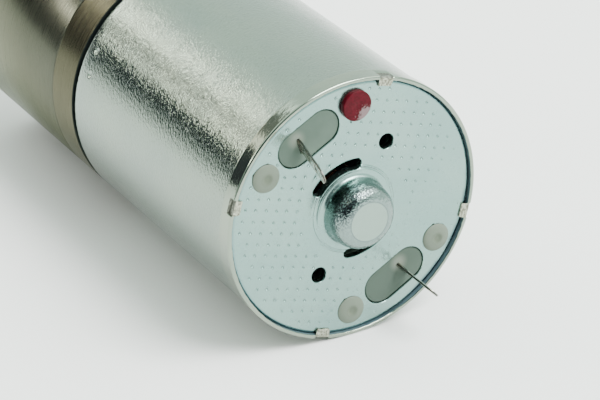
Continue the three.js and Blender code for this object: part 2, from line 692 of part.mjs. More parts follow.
function motorFlange() {
  const frontY = RING_REAR_Y - TOUCH / 2;
  const bossBore = BOSS_RADIUS + FIT;
  const stepY = FLANGE_REAR_Y + BOSS_LENGTH + 4 * TOUCH;
  const throat = bossBore - 0.6;
  const headSeat = frontY - MOTOR_SCREW_HEAD_HEIGHT - 4 * TOUCH;
  const body = turned([
    ...pairs([bossBore, FLANGE_REAR_Y], [BODY_RADIUS, FLANGE_REAR_Y], [BODY_RADIUS, frontY]),
    ...pairs([throat, frontY], [throat, stepY], [bossBore, stepY], [bossBore, FLANGE_REAR_Y]),
  ]);
  const motorHoles = MOTOR_SCREW_ANGLES.map((angle) => {
    const shank = rod(MOTOR_SCREW_RADIUS + FIT, FLANGE_REAR_Y - CLEAR, frontY + CLEAR, PIN_ROUND);
    const head = rod(MOTOR_SCREW_HEAD + 2 * FIT, headSeat, frontY + CLEAR, PIN_ROUND);
    return movedTo(joined(shank, head), polar(MOTOR_SCREW_CIRCLE, angle));
  });
  const coverHoles = coverScrewCentres().map((centre) =>
    movedTo(rod(COVER_SCREW_RADIUS + FIT, COVER_SCREW_TIP_Y - FIT, frontY + CLEAR, FINE_ROUND), centre),
  );
  return cutBy(body, ...motorHoles, ...coverHoles);
}

// A slotted cheese-head screw with its head towards +Y.
function slottedScrew({ shank, head, headHeight, tipY, headY }) {
  const taper = 0.3;
  const profile = [
    ...pairs([0, tipY], [shank - taper, tipY], [shank, tipY + taper], [shank, headY - headHeight]),
    ...pairs([head, headY - headHeight], [head, headY], [0, headY]),
  ];
  const slotWidth = head / 4;
  const slot = new THREE.BoxGeometry(3 * head, headHeight, slotWidth).translate(0, headY, 0);
  return cutBy(turned(profile, PIN_ROUND), slot);
}

function motorScrew(side) {
  const screw = slottedScrew({
    shank: MOTOR_SCREW_RADIUS,
    head: MOTOR_SCREW_HEAD,
    headHeight: MOTOR_SCREW_HEAD_HEIGHT,
    tipY: MOTOR_SCREW_TIP_Y,
    headY: MOTOR_SCREW_TOP_Y,
  });
  return movedTo(screw, polar(MOTOR_SCREW_CIRCLE, MOTOR_SCREW_ANGLES[side]));
}

function coverScrew(centre) {
  const screw = slottedScrew({
    shank: COVER_SCREW_RADIUS,
    head: COVER_SCREW_HEAD,
    headHeight: COVER_SCREW_HEAD_HEIGHT,
    tipY: COVER_SCREW_TIP_Y,
    headY: COVER_SCREW_TOP_Y,
  });
  return movedTo(screw, centre);
}

function frontCover() {
  const [rearBore, frontBore] = [BUSH_REAR.radius + FIT, BUSH_FRONT.radius + FIT];
  const lip = OUTPUT_RADIUS + 0.6;
  const headSeat = COVER_SCREW_TOP_Y - COVER_SCREW_HEAD_HEIGHT - TOUCH;
  const body = turned([
    ...pairs([rearBore, SPIGOT_REAR_Y], [SPIGOT_RADIUS, SPIGOT_REAR_Y], [SPIGOT_RADIUS, COVER_REAR_Y]),
    ...pairs([BODY_RADIUS, COVER_REAR_Y], [BODY_RADIUS, -EDGE_CHAMFER], [BODY_RADIUS - EDGE_CHAMFER, 0]),
    ...pairs([PILOT_RADIUS, 0], [PILOT_RADIUS, PILOT_LENGTH], [frontBore, PILOT_LENGTH]),
    ...pairs([frontBore, BUSH_FRONT.rearY - TOUCH], [lip, BUSH_FRONT.rearY - TOUCH]),
    ...pairs([lip, BUSH_REAR.frontY + TOUCH], [rearBore, BUSH_REAR.frontY + TOUCH]),
    ...pairs([rearBore, SPIGOT_REAR_Y]),
  ]);
  const mountHoles = MOUNT_HOLE_ANGLES.map((angle) =>
    movedTo(rod(MOUNT_HOLE_RADIUS, MOUNT_HOLE_BOTTOM_Y, CLEAR, PIN_ROUND), polar(MOUNT_HOLE_CIRCLE, angle)),
  );
  const screwHoles = coverScrewCentres().map((centre) => {
    const shank = rod(COVER_SCREW_RADIUS + FIT, SPIGOT_REAR_Y - CLEAR, CLEAR, FINE_ROUND);
    const head = rod(COVER_SCREW_HEAD + FIT, headSeat, CLEAR, FINE_ROUND);
    return movedTo(joined(shank, head), centre);
  });
  return cutBy(body, ...mountHoles, ...screwHoles);
}

// A carrier plate with three pins towards the motor.
function carrier(bore, plateSpan, pinEndY) {
  const plate = sleeve(bore, CARRIER_RADIUS, plateSpan.rearY, plateSpan.frontY);
  const pins = pinCentres().map((centre) =>
    movedTo(rod(PIN_RADIUS, pinEndY, plateSpan.frontY - PIN_SHORTER, PIN_ROUND), centre),
  );
  return joined(plate, ...pins);
}

function outputShaft() {
  const groove = OUTPUT_RADIUS - GROOVE_DEPTH;
  const shaft = turned(
    [
      ...pairs([0, STAGE2_PLATE.rearY], [OUTPUT_RADIUS, STAGE2_PLATE.rearY]),
      ...pairs([OUTPUT_RADIUS, GROOVE_REAR_Y], [groove, GROOVE_REAR_Y]),
      ...pairs([groove, GROOVE_FRONT_Y], [OUTPUT_RADIUS, GROOVE_FRONT_Y]),
      ...pairs([OUTPUT_RADIUS, OUTPUT_END_Y - EDGE_CHAMFER], [OUTPUT_RADIUS - EDGE_CHAMFER, OUTPUT_END_Y]),
      ...pairs([0, OUTPUT_END_Y]),
    ],
    SHAFT_ROUND,
  );
  const flat = new THREE.BoxGeometry(3 * OUTPUT_RADIUS, FLAT_LENGTH + CLEAR, OUTPUT_RADIUS);
  flat.translate(0, OUTPUT_END_Y + (CLEAR - FLAT_LENGTH) / 2, 1.5 * OUTPUT_RADIUS - FLAT_DEPTH);
  return cutBy(shaft, flat);
}

function circlip() {
  const mouth = CIRCLIP_MOUTH_HALF_ANGLE; // its opening is upwards
  const inner = OUTPUT_RADIUS - CIRCLIP_GRIP;
  const shape = arcShape(inner, CIRCLIP_RADIUS, 90 + mouth, 450 - mouth, 20);
  return slab(shape, GROOVE_REAR_Y + TOUCH, GROOVE_FRONT_Y - TOUCH);
}

// ---- assembly ----

const gearmotor = new THREE.Group();

function add(name, material, geometry) {
  const mesh = new THREE.Mesh(geometry, material());
  mesh.name = name;
  gearmotor.add(mesh);
}

function addStator() {
  const running = MOTOR_SHAFT_RADIUS + RUNNING_GAP;
  const bossBore = BOSS_RADIUS - CAN_WALL;
  const bush = (outer, { rearY, frontY }) => sleeve(running, outer, rearY, frontY, SMALL_ROUND);
  add("motor_can", finishes.zincPlate, motorCan());
  add("end_plate", finishes.endPlate, endPlate());
  add("brush_card", finishes.nylon, brushCard());
  add("rear_bush", finishes.bronze, bush(DOME_BORE - FIT, REAR_BUSH));
  add("front_bush", finishes.bronze, bush(bossBore - FIT, FRONT_BUSH));
  for (const side of [0, 1]) {
    const number = side + 1;
    add(`terminal_${number}`, finishes.tin, terminal(side));
    add(`brush_arm_${number}`, finishes.springBronze, brushArm(side));
    add(`carbon_brush_${number}`, finishes.carbon, carbonBrush(side));
    add(`magnet_${number}`, finishes.ferrite, magnet(side));
    add(`magnet_spring_${number}`, finishes.steel, magnetSpring(side));
    add(`motor_screw_${number}`, finishes.screw, motorScrew(side));
  }
}

// A sheet of insulation with the outline of the laminations.
function endInsulator(rearY) {
  return slab(laminationShape(STACK_RADIUS - INSULATOR_STEP), rearY, rearY + INSULATOR_THICKNESS);
}

function addRotor() {
  const bore = MOTOR_SHAFT_RADIUS + FIT;
  const stack = slab(laminationShape(STACK_RADIUS), STACK_REAR_Y, STACK_FRONT_Y);
  const shaft = rod(MOTOR_SHAFT_RADIUS, ROTOR_SHAFT.rearY, ROTOR_SHAFT.frontY);
  const rearInsulatorY = STACK_REAR_Y - TOUCH - INSULATOR_THICKNESS;
  const collar = ({ rearY, frontY }) => sleeve(bore, HUB_RADIUS, rearY, frontY, SMALL_ROUND);
  const { radius, rearY, frontY } = VARISTOR;
  add("rotor_shaft", finishes.steel, shaft);
  add("lamination_stack", finishes.lamination, stack);
  add("end_insulator_rear", finishes.insulator, endInsulator(rearInsulatorY));
  add("end_insulator_front", finishes.insulator, endInsulator(STACK_FRONT_Y + TOUCH));
  add("commutator_hub", finishes.phenolic, collar(HUB));
  add("rotor_washer_rear", finishes.insulator, collar(REAR_WASHER));
  add("rotor_washer_front", finishes.insulator, collar(FRONT_WASHER));
  add("varistor_ring", finishes.ceramic, sleeve(HUB_RADIUS + FIT, radius, rearY, frontY, SMALL_ROUND));
  for (let pole = 0; pole < POLES; pole++) {
    add(`winding_coil_${pole + 1}`, finishes.enamel, windingCoil(pole));
    add(`commutator_bar_${pole + 1}`, finishes.copper, commutatorBar(pole));
  }
  add("sun_gear_1", finishes.gearSteel, sunGear(bore, STAGE1_GEARS));
}

function outputBush({ radius, rearY, frontY }) {
  return sleeve(OUTPUT_RADIUS + RUNNING_GAP, radius, rearY, frontY, SHAFT_ROUND);
}

function thrustWasher() {
  const rearY = STAGE2_PLATE.frontY + TOUCH;
  const frontY = rearY + THRUST_WASHER_THICKNESS;
  return sleeve(OUTPUT_RADIUS + FIT, THRUST_WASHER_RADIUS, rearY, frontY, SHAFT_ROUND);
}

function addGearbox() {
  const firstPinsY = STAGE1_GEARS.rearY - 2 * TOUCH;
  add("motor_flange", finishes.flange, motorFlange());
  add("ring_gear", finishes.machined, ringGear());
  add("front_cover", finishes.machined, frontCover());
  coverScrewCentres().forEach((centre, index) => {
    add(`cover_screw_${index + 1}`, finishes.screw, coverScrew(centre));
  });
  add("stage1_carrier", finishes.steel, carrier(SHANK_RADIUS + FIT, STAGE1_PLATE, firstPinsY));
  add("sun_gear_2", finishes.gearSteel, secondSunGear());
  add("stage2_carrier", finishes.steel, carrier(OUTPUT_RADIUS + FIT, STAGE2_PLATE, STAGE2_GEARS.rearY));
  PLANET_ANGLES.forEach((_, index) => {
    add(`stage1_planet_${index + 1}`, finishes.gearSteel, planet(index, STAGE1_GEARS));
    add(`stage2_planet_${index + 1}`, finishes.gearSteel, planet(index, STAGE2_GEARS));
  });
  add("output_shaft", finishes.steel, outputShaft());
  add("output_bush_rear", finishes.bronze, outputBush(BUSH_REAR));
  add("output_bush_front", finishes.bronze, outputBush(BUSH_FRONT));
  add("thrust_washer", finishes.insulator, thrustWasher());
  add("circlip", finishes.screw, circlip());
}

addStator();
addRotor();
addGearbox();

export default gearmotor;
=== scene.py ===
import json
import math
import random

import bmesh
import bpy
from mathutils import Matrix, Vector, geometry


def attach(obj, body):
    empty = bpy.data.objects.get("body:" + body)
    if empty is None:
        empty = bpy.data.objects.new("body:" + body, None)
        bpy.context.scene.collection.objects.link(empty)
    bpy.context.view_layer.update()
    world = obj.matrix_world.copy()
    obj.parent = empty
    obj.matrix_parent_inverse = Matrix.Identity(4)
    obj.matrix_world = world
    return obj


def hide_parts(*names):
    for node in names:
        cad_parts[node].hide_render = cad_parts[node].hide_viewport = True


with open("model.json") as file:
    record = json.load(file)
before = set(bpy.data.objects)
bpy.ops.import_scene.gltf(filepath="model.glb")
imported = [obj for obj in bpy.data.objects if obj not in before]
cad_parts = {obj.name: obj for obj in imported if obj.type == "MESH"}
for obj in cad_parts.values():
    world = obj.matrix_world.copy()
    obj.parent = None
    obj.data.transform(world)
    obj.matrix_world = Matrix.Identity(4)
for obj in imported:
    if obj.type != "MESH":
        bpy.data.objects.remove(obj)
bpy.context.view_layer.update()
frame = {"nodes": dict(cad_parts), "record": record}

# ---- dimensions, in mm, in the frame of the CAD model ----

MM = 0.001
GAP = 0.1  # between neighbouring pieces

BODY_RADIUS = 18.0
COVER_REAR_Y = -6.0
RING_REAR_Y = -29.0
FLANGE_REAR_Y = -35.0

RIM_Y = -79.5
CAN_FRONT_Y = -35.1
CAN_WALL = 1.0
CAN_CORNER = 2.8
MOUTH_RADIUS = 18.25
MOUTH_SEAT = 17.7
LIP_ROUNDING = 0.15  # inside the rim
MOUTH_END_Y = -77.1  # where the smooth band at the mouth ends
BOSS_RADIUS = 5.0
BOSS_LENGTH = 2.0
BOSS_BORE = 2.2875
DIMPLES = ((149.0, -38.1), (159.5, -38.6))  # angle and y of the two small marks near the front
DIMPLE_ROWS = (-39.4, -37.4)
DIMPLE_RADIUS = 0.6
DIMPLE_DEPTH = 0.16
STAKE_ANGLES = (75, 165, 255, 345)
STAKE_HALF = 3.4  # degrees
STAKE_INNER = 16.85
NOTCH_RADIUS = 17.95  # a stake's notch is outside this

PLATE_REAR_Y = -79.14
PLATE_FRONT_Y = -78.14
PLATE_RADIUS = 17.66
EDGE_ROLL_WIDTH = 0.7  # the plate's outer edge curves down into the can
EDGE_ROLL_DEPTH = 0.22
DENT_RADIUS = 0.26
DENT_PITCH = 1.543
DENT_TURN = -15.6  # of the dents' square grid, in degrees
DENTS_FROM, DENTS_TO = 7.6, 16.6  # the ring the grid fills
DENT_MARGIN = 0.35  # from every edge of the sheet
DOME_HEIGHT = 4.2
DOME_BORE = 3.5
DOME_FLAT = 2.7  # radius of its flat end
SHOULDER_WIDTH = 1.78
SHOULDER_DROP = 2.25
FOOT_WIDTH = 0.63
FOOT_HEIGHT = 0.6
RAISED_RADIUS = 5.3  # where the flat sheet meets the dome's lathe profile

CARD_AXIS = 119.4
CARD_RADIUS = 16.2
CARD_BORE = 7.6
CARD_REAR_Y = -78.04
CARD_FRONT_Y = -76.24
CARD_RIM_LENGTH = 3.0
CARD_RIM_WALL = 1.2
OBLONG_CENTRE = 13.1
OBLONG_HALF = 2.26
OBLONG_END = 2.35
OBLONG_REAR_Y = -79.02
POST_CENTRE = 14.7
POST_SPREAD = 30
POST_RADIUS = 1.35
HEAD_PIT_Y = -79.6
PAINT_Y = -79.5  # middle of the paint on the first post's head
WORN_SPOT = (1.35, -79.8, -1.45)  # where that paint is rubbed off: x and z from the post, and y
VENT_CENTRE = 9.67
VENT_RADIUS = 1.05
CARD_VENT_RADIUS = 2.1
SLOT_CENTRE = 6.3
SLOT_HALF = 0.68
SLOT_ANGLES = ((85, 144), (265, 324))

BLADE_WIDTH = 2.1
BLADE_THICKNESS = 0.35
BLADE_HEIGHT = 8.1
BLADE_OFFSET = 1.4
BLADE_HOLE_RADIUS = 0.6
BLADE_HOLE_HEIGHT = 5.4
BLADE_INNER_Y = -72.4
BLADE_CLEARANCE = 0.06  # round a blade where it comes out of its boss
BEND_START = 0.6
MILKY_SPOT = (-0.55, 0.95)  # from a blade's root to the pale spot beside it
BLADE_BENDS = ((-12.0, 1.5), (14.6, 0.0))  # degrees turned about its own axis, mm of lean at the tip

SCREW_CIRCLE = 16.0
SCREW_ANGLES = (0, 90, 180, 270)
MOUNT_HOLE_CIRCLE = 14.0
MOUNT_HOLE_ANGLES = (45, 135, 225, 315)
MOTOR_SCREW_CIRCLE = 12.5
MOTOR_SCREW_ANGLES = (45, 225)
MOTOR_SCREW_HOLE = 1.6
MOTOR_HEAD_HOLE = 2.8
MOTOR_HEAD_DEPTH = 2.2

COVER_SCREW_SHANK = 0.98
COVER_SCREW_HOLE = 1.1
COVER_SCREW_HEAD = 1.8
COVER_HEAD_SEAT_Y = -1.5
COVER_SCREW_TOP_Y = -0.2
COVER_SCREW_TIP_Y = -33.2
SCREW_SLOT_HALF = 0.23
SCREW_SLOT_BOTTOM_Y = -0.85
MOUNT_HOLE_RADIUS = 1.25
MOUNT_HOLE_BOTTOM_Y = -5
HOLE_CHAMFER = 0.12

MODULE = 0.75  # of the ring gear
RING_TEETH = 36
PRESSURE_ANGLE = 25
TOOTH_THINNING = 0.05

SPIGOT_RADIUS = 12.0  # the cover's rim inside the ring gear
SPIGOT_REAR_Y = -7.8
PILOT_RADIUS = 11.0
PILOT_LENGTH = 2.5
COVER_LIP = 4.6  # bore of the lip between the two bushes
REAR_BUSH_BORE = 7.1
REAR_BUSH_SEAT_Y = -2.2
FRONT_BUSH_BORE = 6.1
FRONT_BUSH_SEAT_Y = -1.5
BUSH_INNER = 4.06
BUSH_OUTER = 6.0
BUSH_REAR_Y = -1.4
BUSH_FRONT_Y = 2.4

SHAFT_RADIUS = 4.0
SHAFT_REAR_Y = -11.6
SHAFT_END_Y = 22.0
SHAFT_CHAMFER = 0.5
GROOVE_RADIUS = 3.7
GROOVE_REAR_Y = 2.8
GROOVE_FRONT_Y = 3.8
FLAT_START_Y = 7.0
FLAT_HEIGHT = 3.0  # of the shaft's flat from its axis
CIRCLIP_INNER = 3.8
CIRCLIP_OUTER = 5.4
CIRCLIP_MOUTH = 24  # half of its opening, in degrees
CIRCLIP_REAR_Y = 2.9
CIRCLIP_FRONT_Y = 3.7

FLOOR_HALF = 3000  # half of its side
FLOOR_DEPTH = 18.27  # below the main axis
CAMERA_PLACE = (-175.4, RIM_Y - 289.2, 176.6)
CAMERA_RIGHT = (0.8654, -0.5011, 0.0)
CAMERA_UP = (0.2305, 0.3981, 0.8879)
KEY_PLACE = (0.3, -0.62, 1.0)  # in metres, as are its aim and size
KEY_AIM = (0, -0.05, 0)
KEY_SIZE = (0.6, 0.6)
KEY_POWER = 28.0
KEY_COLOUR = (1.0, 0.995, 0.985)

CUT_PAST = 1.0  # how far a cutting tool stands out past the piece
SMOOTH_UP_TO = 32.0  # degrees between two faces
CLOSEST = 0.02  # least spacing of the free points of a sheet


# ---- mesh building blocks ----


def polar(radius, degrees):
    angle = math.radians(degrees)
    return (radius * math.cos(angle), radius * math.sin(angle))


POSTS = [
    polar(POST_CENTRE, CARD_AXIS + turn)
    for turn in (-POST_SPREAD, POST_SPREAD, 180 - POST_SPREAD, 180 + POST_SPREAD)
]
VENTS = [polar(VENT_CENTRE, CARD_AXIS - 60), polar(VENT_CENTRE, CARD_AXIS + 120)]


def blade_frame(side):
    """The middle of a blade's root, its directions across and through, and the way it leans."""
    axis = CARD_AXIS + 180 * side
    radial, tangent = polar(1, axis), polar(1, axis + 90)
    x = OBLONG_CENTRE * radial[0] + BLADE_OFFSET * tangent[0]
    z = OBLONG_CENTRE * radial[1] + BLADE_OFFSET * tangent[1]
    turned = axis + BLADE_BENDS[side][0]
    return (x, z), polar(1, turned), polar(1, turned + 90), tangent


def rounded(corners, steps=5):
    """A closed outline from (a, b, radius) corners, each rounded by its own radius.

    A point just beside each rounding keeps the shading of the straight parts straight."""
    points = []
    beside = 0.04
    longest = 0.49  # share of a side that a rounding may use up
    for i, (a, b, radius) in enumerate(corners):
        here = Vector((a, b))
        before = Vector(corners[i - 1][:2]) - here
        after = Vector(corners[(i + 1) % len(corners)][:2]) - here
        if radius <= 0:
            points.append((a, b))
            continue
        half = before.angle(after) / 2
        reach = min(radius / math.tan(half), longest * before.length, longest * after.length)
        fitted = reach * math.tan(half)
        toward = (before.normalized() + after.normalized()).normalized()
        centre = here + toward * (fitted / math.sin(half))
        start = here + before.normalized() * reach - centre
        end = here + after.normalized() * reach - centre
        if reach + beside < longest * before.length:
            points.append(tuple(here + before.normalized() * (reach + beside)))
        first = math.atan2(start.y, start.x)
        turn = (math.atan2(end.y, end.x) - first + math.pi) % (2 * math.pi) - math.pi
        for step in range(steps + 1):
            angle = first + turn * step / steps
            points.append((centre.x + fitted * math.cos(angle), centre.y + fitted * math.sin(angle)))
        if reach + beside < longest * after.length:
            points.append(tuple(here + after.normalized() * (reach + beside)))
    return points


def evenly_round(count):
    return [360.0 * i / count for i in range(count)]


def lathe(profile, angles, moved=None, centre=(0.0, 0.0)):
    """Revolves a closed (radius, y) outline about the Y axis. moved shifts single points of it.

    angles is a list of degrees, or how many evenly spaced ones there are."""
    if isinstance(angles, int):
        angles = evenly_round(angles)
    verts, rows = [], []
    for radius, y in profile:
        if radius < 1e-6:
            rows.append([len(verts)] * len(angles))
            verts.append((centre[0], y, centre[1]))
            continue
        row = []
        for degrees in angles:
            r, at_y = moved(radius, y, degrees) if moved else (radius, y)
            x, z = polar(r, degrees)
            row.append(len(verts))
            verts.append((centre[0] + x, at_y, centre[1] + z))
        rows.append(row)
    faces = []
    for i, row in enumerate(rows):
        after = rows[(i + 1) % len(rows)]
        for j in range(len(angles)):
            k = (j + 1) % len(angles)
            face = list(dict.fromkeys((row[j], row[k], after[k], after[j])))
            if len(face) > 2:
                faces.append(face)
    return verts, faces


def circle_loop(radius, count, centre=(0.0, 0.0)):
    at = [polar(radius, degrees) for degrees in evenly_round(count)]
    return [(centre[0] + x, centre[1] + z) for x, z in at]


def oblong_frame(side):
    """The oblong's axis, its middle, and the way from there to the centre of one of its ends."""
    axis = CARD_AXIS + 180 * side
    return axis, polar(OBLONG_CENTRE, axis), polar(OBLONG_HALF, axis + 90)


def oblong_loop(side, radius):
    end_steps, side_steps = 24, 12
    axis, middle, along = oblong_frame(side)
    points = []
    for sign, turn in ((1, 0), (-1, 180)):
        for i in range(end_steps + 1):
            x, z = polar(radius, axis + turn + 180 * i / end_steps)
            points.append((middle[0] + sign * along[0] + x, middle[1] + sign * along[1] + z))
    for i in range(1, side_steps):  # points along the two straight sides keep the triangles short
        share = 1 - 2 * i / side_steps
        for sign in (1, -1):
            x, z = polar(sign * radius, axis)
            points.append((middle[0] + share * along[0] + x, middle[1] + share * along[1] + z))
    points.sort(key=lambda p: math.atan2(p[1] - middle[1], p[0] - middle[0]))
    return points


def arc(radius, start, end, steps, centre=(0.0, 0.0)):
    """Points of an arc from one angle to another, both ends included."""
    at = [polar(radius, start + (end - start) * i / steps) for i in range(steps + 1)]
    return [(centre[0] + x, centre[1] + z) for x, z in at]


def slot_loop(ends, half):
    start, end = ends
    side_steps, end_steps = 36, 12
    points = arc(SLOT_CENTRE + half, start, end, side_steps)
    points += arc(half, end, end + 180, end_steps, polar(SLOT_CENTRE, end))[1:-1]
    points += arc(SLOT_CENTRE - half, end, start, side_steps)
    points += arc(half, start + 180, start + 360, end_steps, polar(SLOT_CENTRE, start))[1:-1]
    return points


def segment_distance(point, a, b):
    ax, az = a
    dx, dz = b[0] - ax, b[1] - az
    share = ((point[0] - ax) * dx + (point[1] - az) * dz) / (dx * dx + dz * dz)
    share = min(1.0, max(0.0, share))
    return math.dist(point, (ax + share * dx, az + share * dz))


def oblong_distance(point, side):
    _, middle, along = oblong_frame(side)
    a = (middle[0] + along[0], middle[1] + along[1])
    b = (middle[0] - along[0], middle[1] - along[1])
    return segment_distance(point, a, b)


def slot_distance(point, ends):
    angle = math.degrees(math.atan2(point[1], point[0])) % 360
    if ends[0] <= angle <= ends[1]:
        return abs(math.hypot(*point) - SLOT_CENTRE)
    return min(math.dist(point, polar(SLOT_CENTRE, end)) for end in ends)


def cells_around(i, j):
    """The keys of a square cell and its eight neighbours."""
    return [(i + di, j + dj) for di in (-1, 0, 1) for dj in (-1, 0, 1)]


def thinned(points, spacing, clear_of):
    """Drops points that lie closer than spacing to an earlier one."""
    taken = {}

    def key(point):
        return (math.floor(point[0] / spacing), math.floor(point[1] / spacing))

    def crowded(point):
        near = (other for cell in cells_around(*key(point)) for other in taken.get(cell, ()))
        return any(math.dist(point, other) < spacing for other in near)

    for point in clear_of:
        taken.setdefault(key(point), []).append(point)
    kept = []
    for point in points:
        if not crowded(point):
            taken.setdefault(key(point), []).append(point)
            kept.append(point)
    return kept


def sheet(loops, points, inside, rear, front):
    """A plate between the heights rear(point) and front(point), with vertical walls at its loops."""
    flat = [point for loop in loops for point in loop]
    edges, first = [], 0
    for loop in loops:
        count = len(loop)
        edges += [(first + i, first + (i + 1) % count) for i in range(count)]
        first += count
    flat += thinned(points, CLOSEST, flat)
    result = geometry.delaunay_2d_cdt([Vector(p) for p in flat], edges, [], 0, 1e-8)
    corners = [(v.x, v.y) for v in result[0]]
    triangles = []
    for face in result[2]:
        middle = (sum(corners[i][0] for i in face) / 3, sum(corners[i][1] for i in face) / 3)
        if inside(middle):
            triangles.append(tuple(face))
    used = sorted({i for face in triangles for i in face})
    renumbered = {old: new for new, old in enumerate(used)}
    corners = [corners[i] for i in used]
    triangles = [tuple(renumbered[i] for i in face) for face in triangles]
    sides = dict.fromkeys(edge for a, b, c in triangles for edge in ((a, b), (b, c), (c, a)))
    total = len(corners)
    verts = [(x, rear((x, z)), z) for x, z in corners]
    verts += [(x, front((x, z)), z) for x, z in corners]
    faces = list(triangles) + [tuple(i + total for i in reversed(face)) for face in triangles]
    for a, b in sides:
        if (b, a) not in sides:
            faces.append((b, a, a + total, b + total))
    return verts, faces


def merged(*parts):
    verts, faces = [], []
    for more_verts, more_faces in parts:
        faces += [tuple(i + len(verts) for i in face) for face in more_faces]
        verts += more_verts
    return verts, faces


def drop_at_edge(distance, radius):
    """How far a rounded edge lies below its flat face, at a distance in from the edge."""
    short = radius - min(radius, max(0.0, distance))
    return radius - math.sqrt(max(0.0, radius * radius - short * short))


def placed(part, change):
    verts, faces = part
    return [change(*vert) for vert in verts], faces


def build(name, part, materials, sharp=SMOOTH_UP_TO, weld=0.0, pick=None):
    """Makes an object in metres from verts and faces in mm, shaded smooth up to the sharp angle.

    pick chooses the material of a face by its centre."""
    verts, faces = part
    mesh = bpy.data.meshes.new(name)
    mesh.from_pydata([(x * MM, y * MM, z * MM) for x, y, z in verts], [], faces)
    work = bmesh.new()
    work.from_mesh(mesh)
    if weld:
        bmesh.ops.remove_doubles(work, verts=work.verts, dist=weld * MM)
    bmesh.ops.recalc_face_normals(work, faces=work.faces)
    work.to_mesh(mesh)
    work.free()
    for material in materials:
        mesh.materials.append(material)
    piece = bpy.data.objects.new(name, mesh)
    bpy.context.scene.collection.objects.link(piece)
    if pick:
        for face in mesh.polygons:
            face.material_index = pick(face.center / MM)
    shade(mesh, sharp)
    return piece


def shade(mesh, sharp):
    mesh.shade_smooth()
    mesh.set_sharp_from_angle(angle=math.radians(sharp))


def cut(piece, tools):
    """Takes the tools, given as verts and faces in mm, out of the piece."""
    tool = build("tool", merged(*tools), [])
    modifier = piece.modifiers.new("cut", "BOOLEAN")
    modifier.operation = "DIFFERENCE"
    modifier.solver = "EXACT"
    modifier.object = tool
    view = bpy.context.evaluated_depsgraph_get()
    mesh = bpy.data.meshes.new_from_object(piece.evaluated_get(view))
    piece.modifiers.clear()
    piece.data = mesh
    bpy.data.objects.remove(tool)
    shade(mesh, SMOOTH_UP_TO)


def drill(radius, rear_y, front_y, centre, count=64, mouth_y=None):
    """A tool for a round hole. Where mouth_y is given, the hole's edge there is chamfered."""
    profile = [(0, rear_y), (radius, rear_y), (radius, front_y), (0, front_y)]
    if mouth_y is not None:
        wide = radius + 2 * HOLE_CHAMFER
        profile[2:] = [(radius, mouth_y - HOLE_CHAMFER), (wide, mouth_y + HOLE_CHAMFER)]
        profile += [(wide, front_y), (0, front_y)]
    return lathe(profile, count, centre=centre)


def block(low, high):
    """A box tool between two corners."""
    corners = [(x, y, z) for x in (low[0], high[0]) for y in (low[1], high[1]) for z in (low[2], high[2])]
    faces = [(0, 1, 3, 2), (4, 6, 7, 5), (0, 4, 5, 1), (2, 3, 7, 6), (0, 2, 6, 4), (1, 5, 7, 3)]
    return corners, faces


def step_up(value, low, high):
    share = min(1.0, max(0.0, (value - low) / (high - low)))
    return share * share * (3 - 2 * share)


def hollow(away):
    """Share of its depth that a smooth round hollow has: 1 in its middle, 0 from its rim outwards."""
    return max(0.0, 1 - away * away) ** 2


# ---- procedural finishes ----


class Nodes:
    """Adds nodes to a tree, each input given as a value or as the output that feeds it."""

    def __init__(self, tree):
        self.tree = tree

    def node(self, kind, inputs=None, **settings):
        node = self.tree.nodes.new(kind)
        for key, value in settings.items():
            setattr(node, key, value)
        for key, value in (inputs or {}).items():
            self.feed(node.inputs[key], value)
        return node

    def feed(self, socket, value):
        if isinstance(value, bpy.types.NodeSocket):
            self.tree.links.new(value, socket)
        else:
            socket.default_value = value

    def math(self, operation, a, b):
        return self.node("ShaderNodeMath", {0: a, 1: b}, operation=operation).outputs[0]

    def times(self, a, b):
        return self.math("MULTIPLY", a, b)

    def vector(self, operation, a, b=(0.0, 0.0, 0.0)):
        return self.node("ShaderNodeVectorMath", {0: a, 1: b}, operation=operation)

    def remap(self, value, low, high, to_low=0.0, to_high=1.0, smooth=True):
        inputs = {"Value": value, "From Min": low, "From Max": high, "To Min": to_low, "To Max": to_high}
        kind = "SMOOTHSTEP" if smooth else "LINEAR"
        return self.node("ShaderNodeMapRange", inputs, interpolation_type=kind).outputs["Result"]

    def mixed(self, factor, a, b):
        mix = self.node("ShaderNodeMix", data_type="RGBA")
        for index, value in ((0, factor), (6, a), (7, b)):
            if isinstance(value, tuple) and len(value) == 3:
                value = (*value, 1.0)
            self.feed(mix.inputs[index], value)
        return mix.outputs[2]


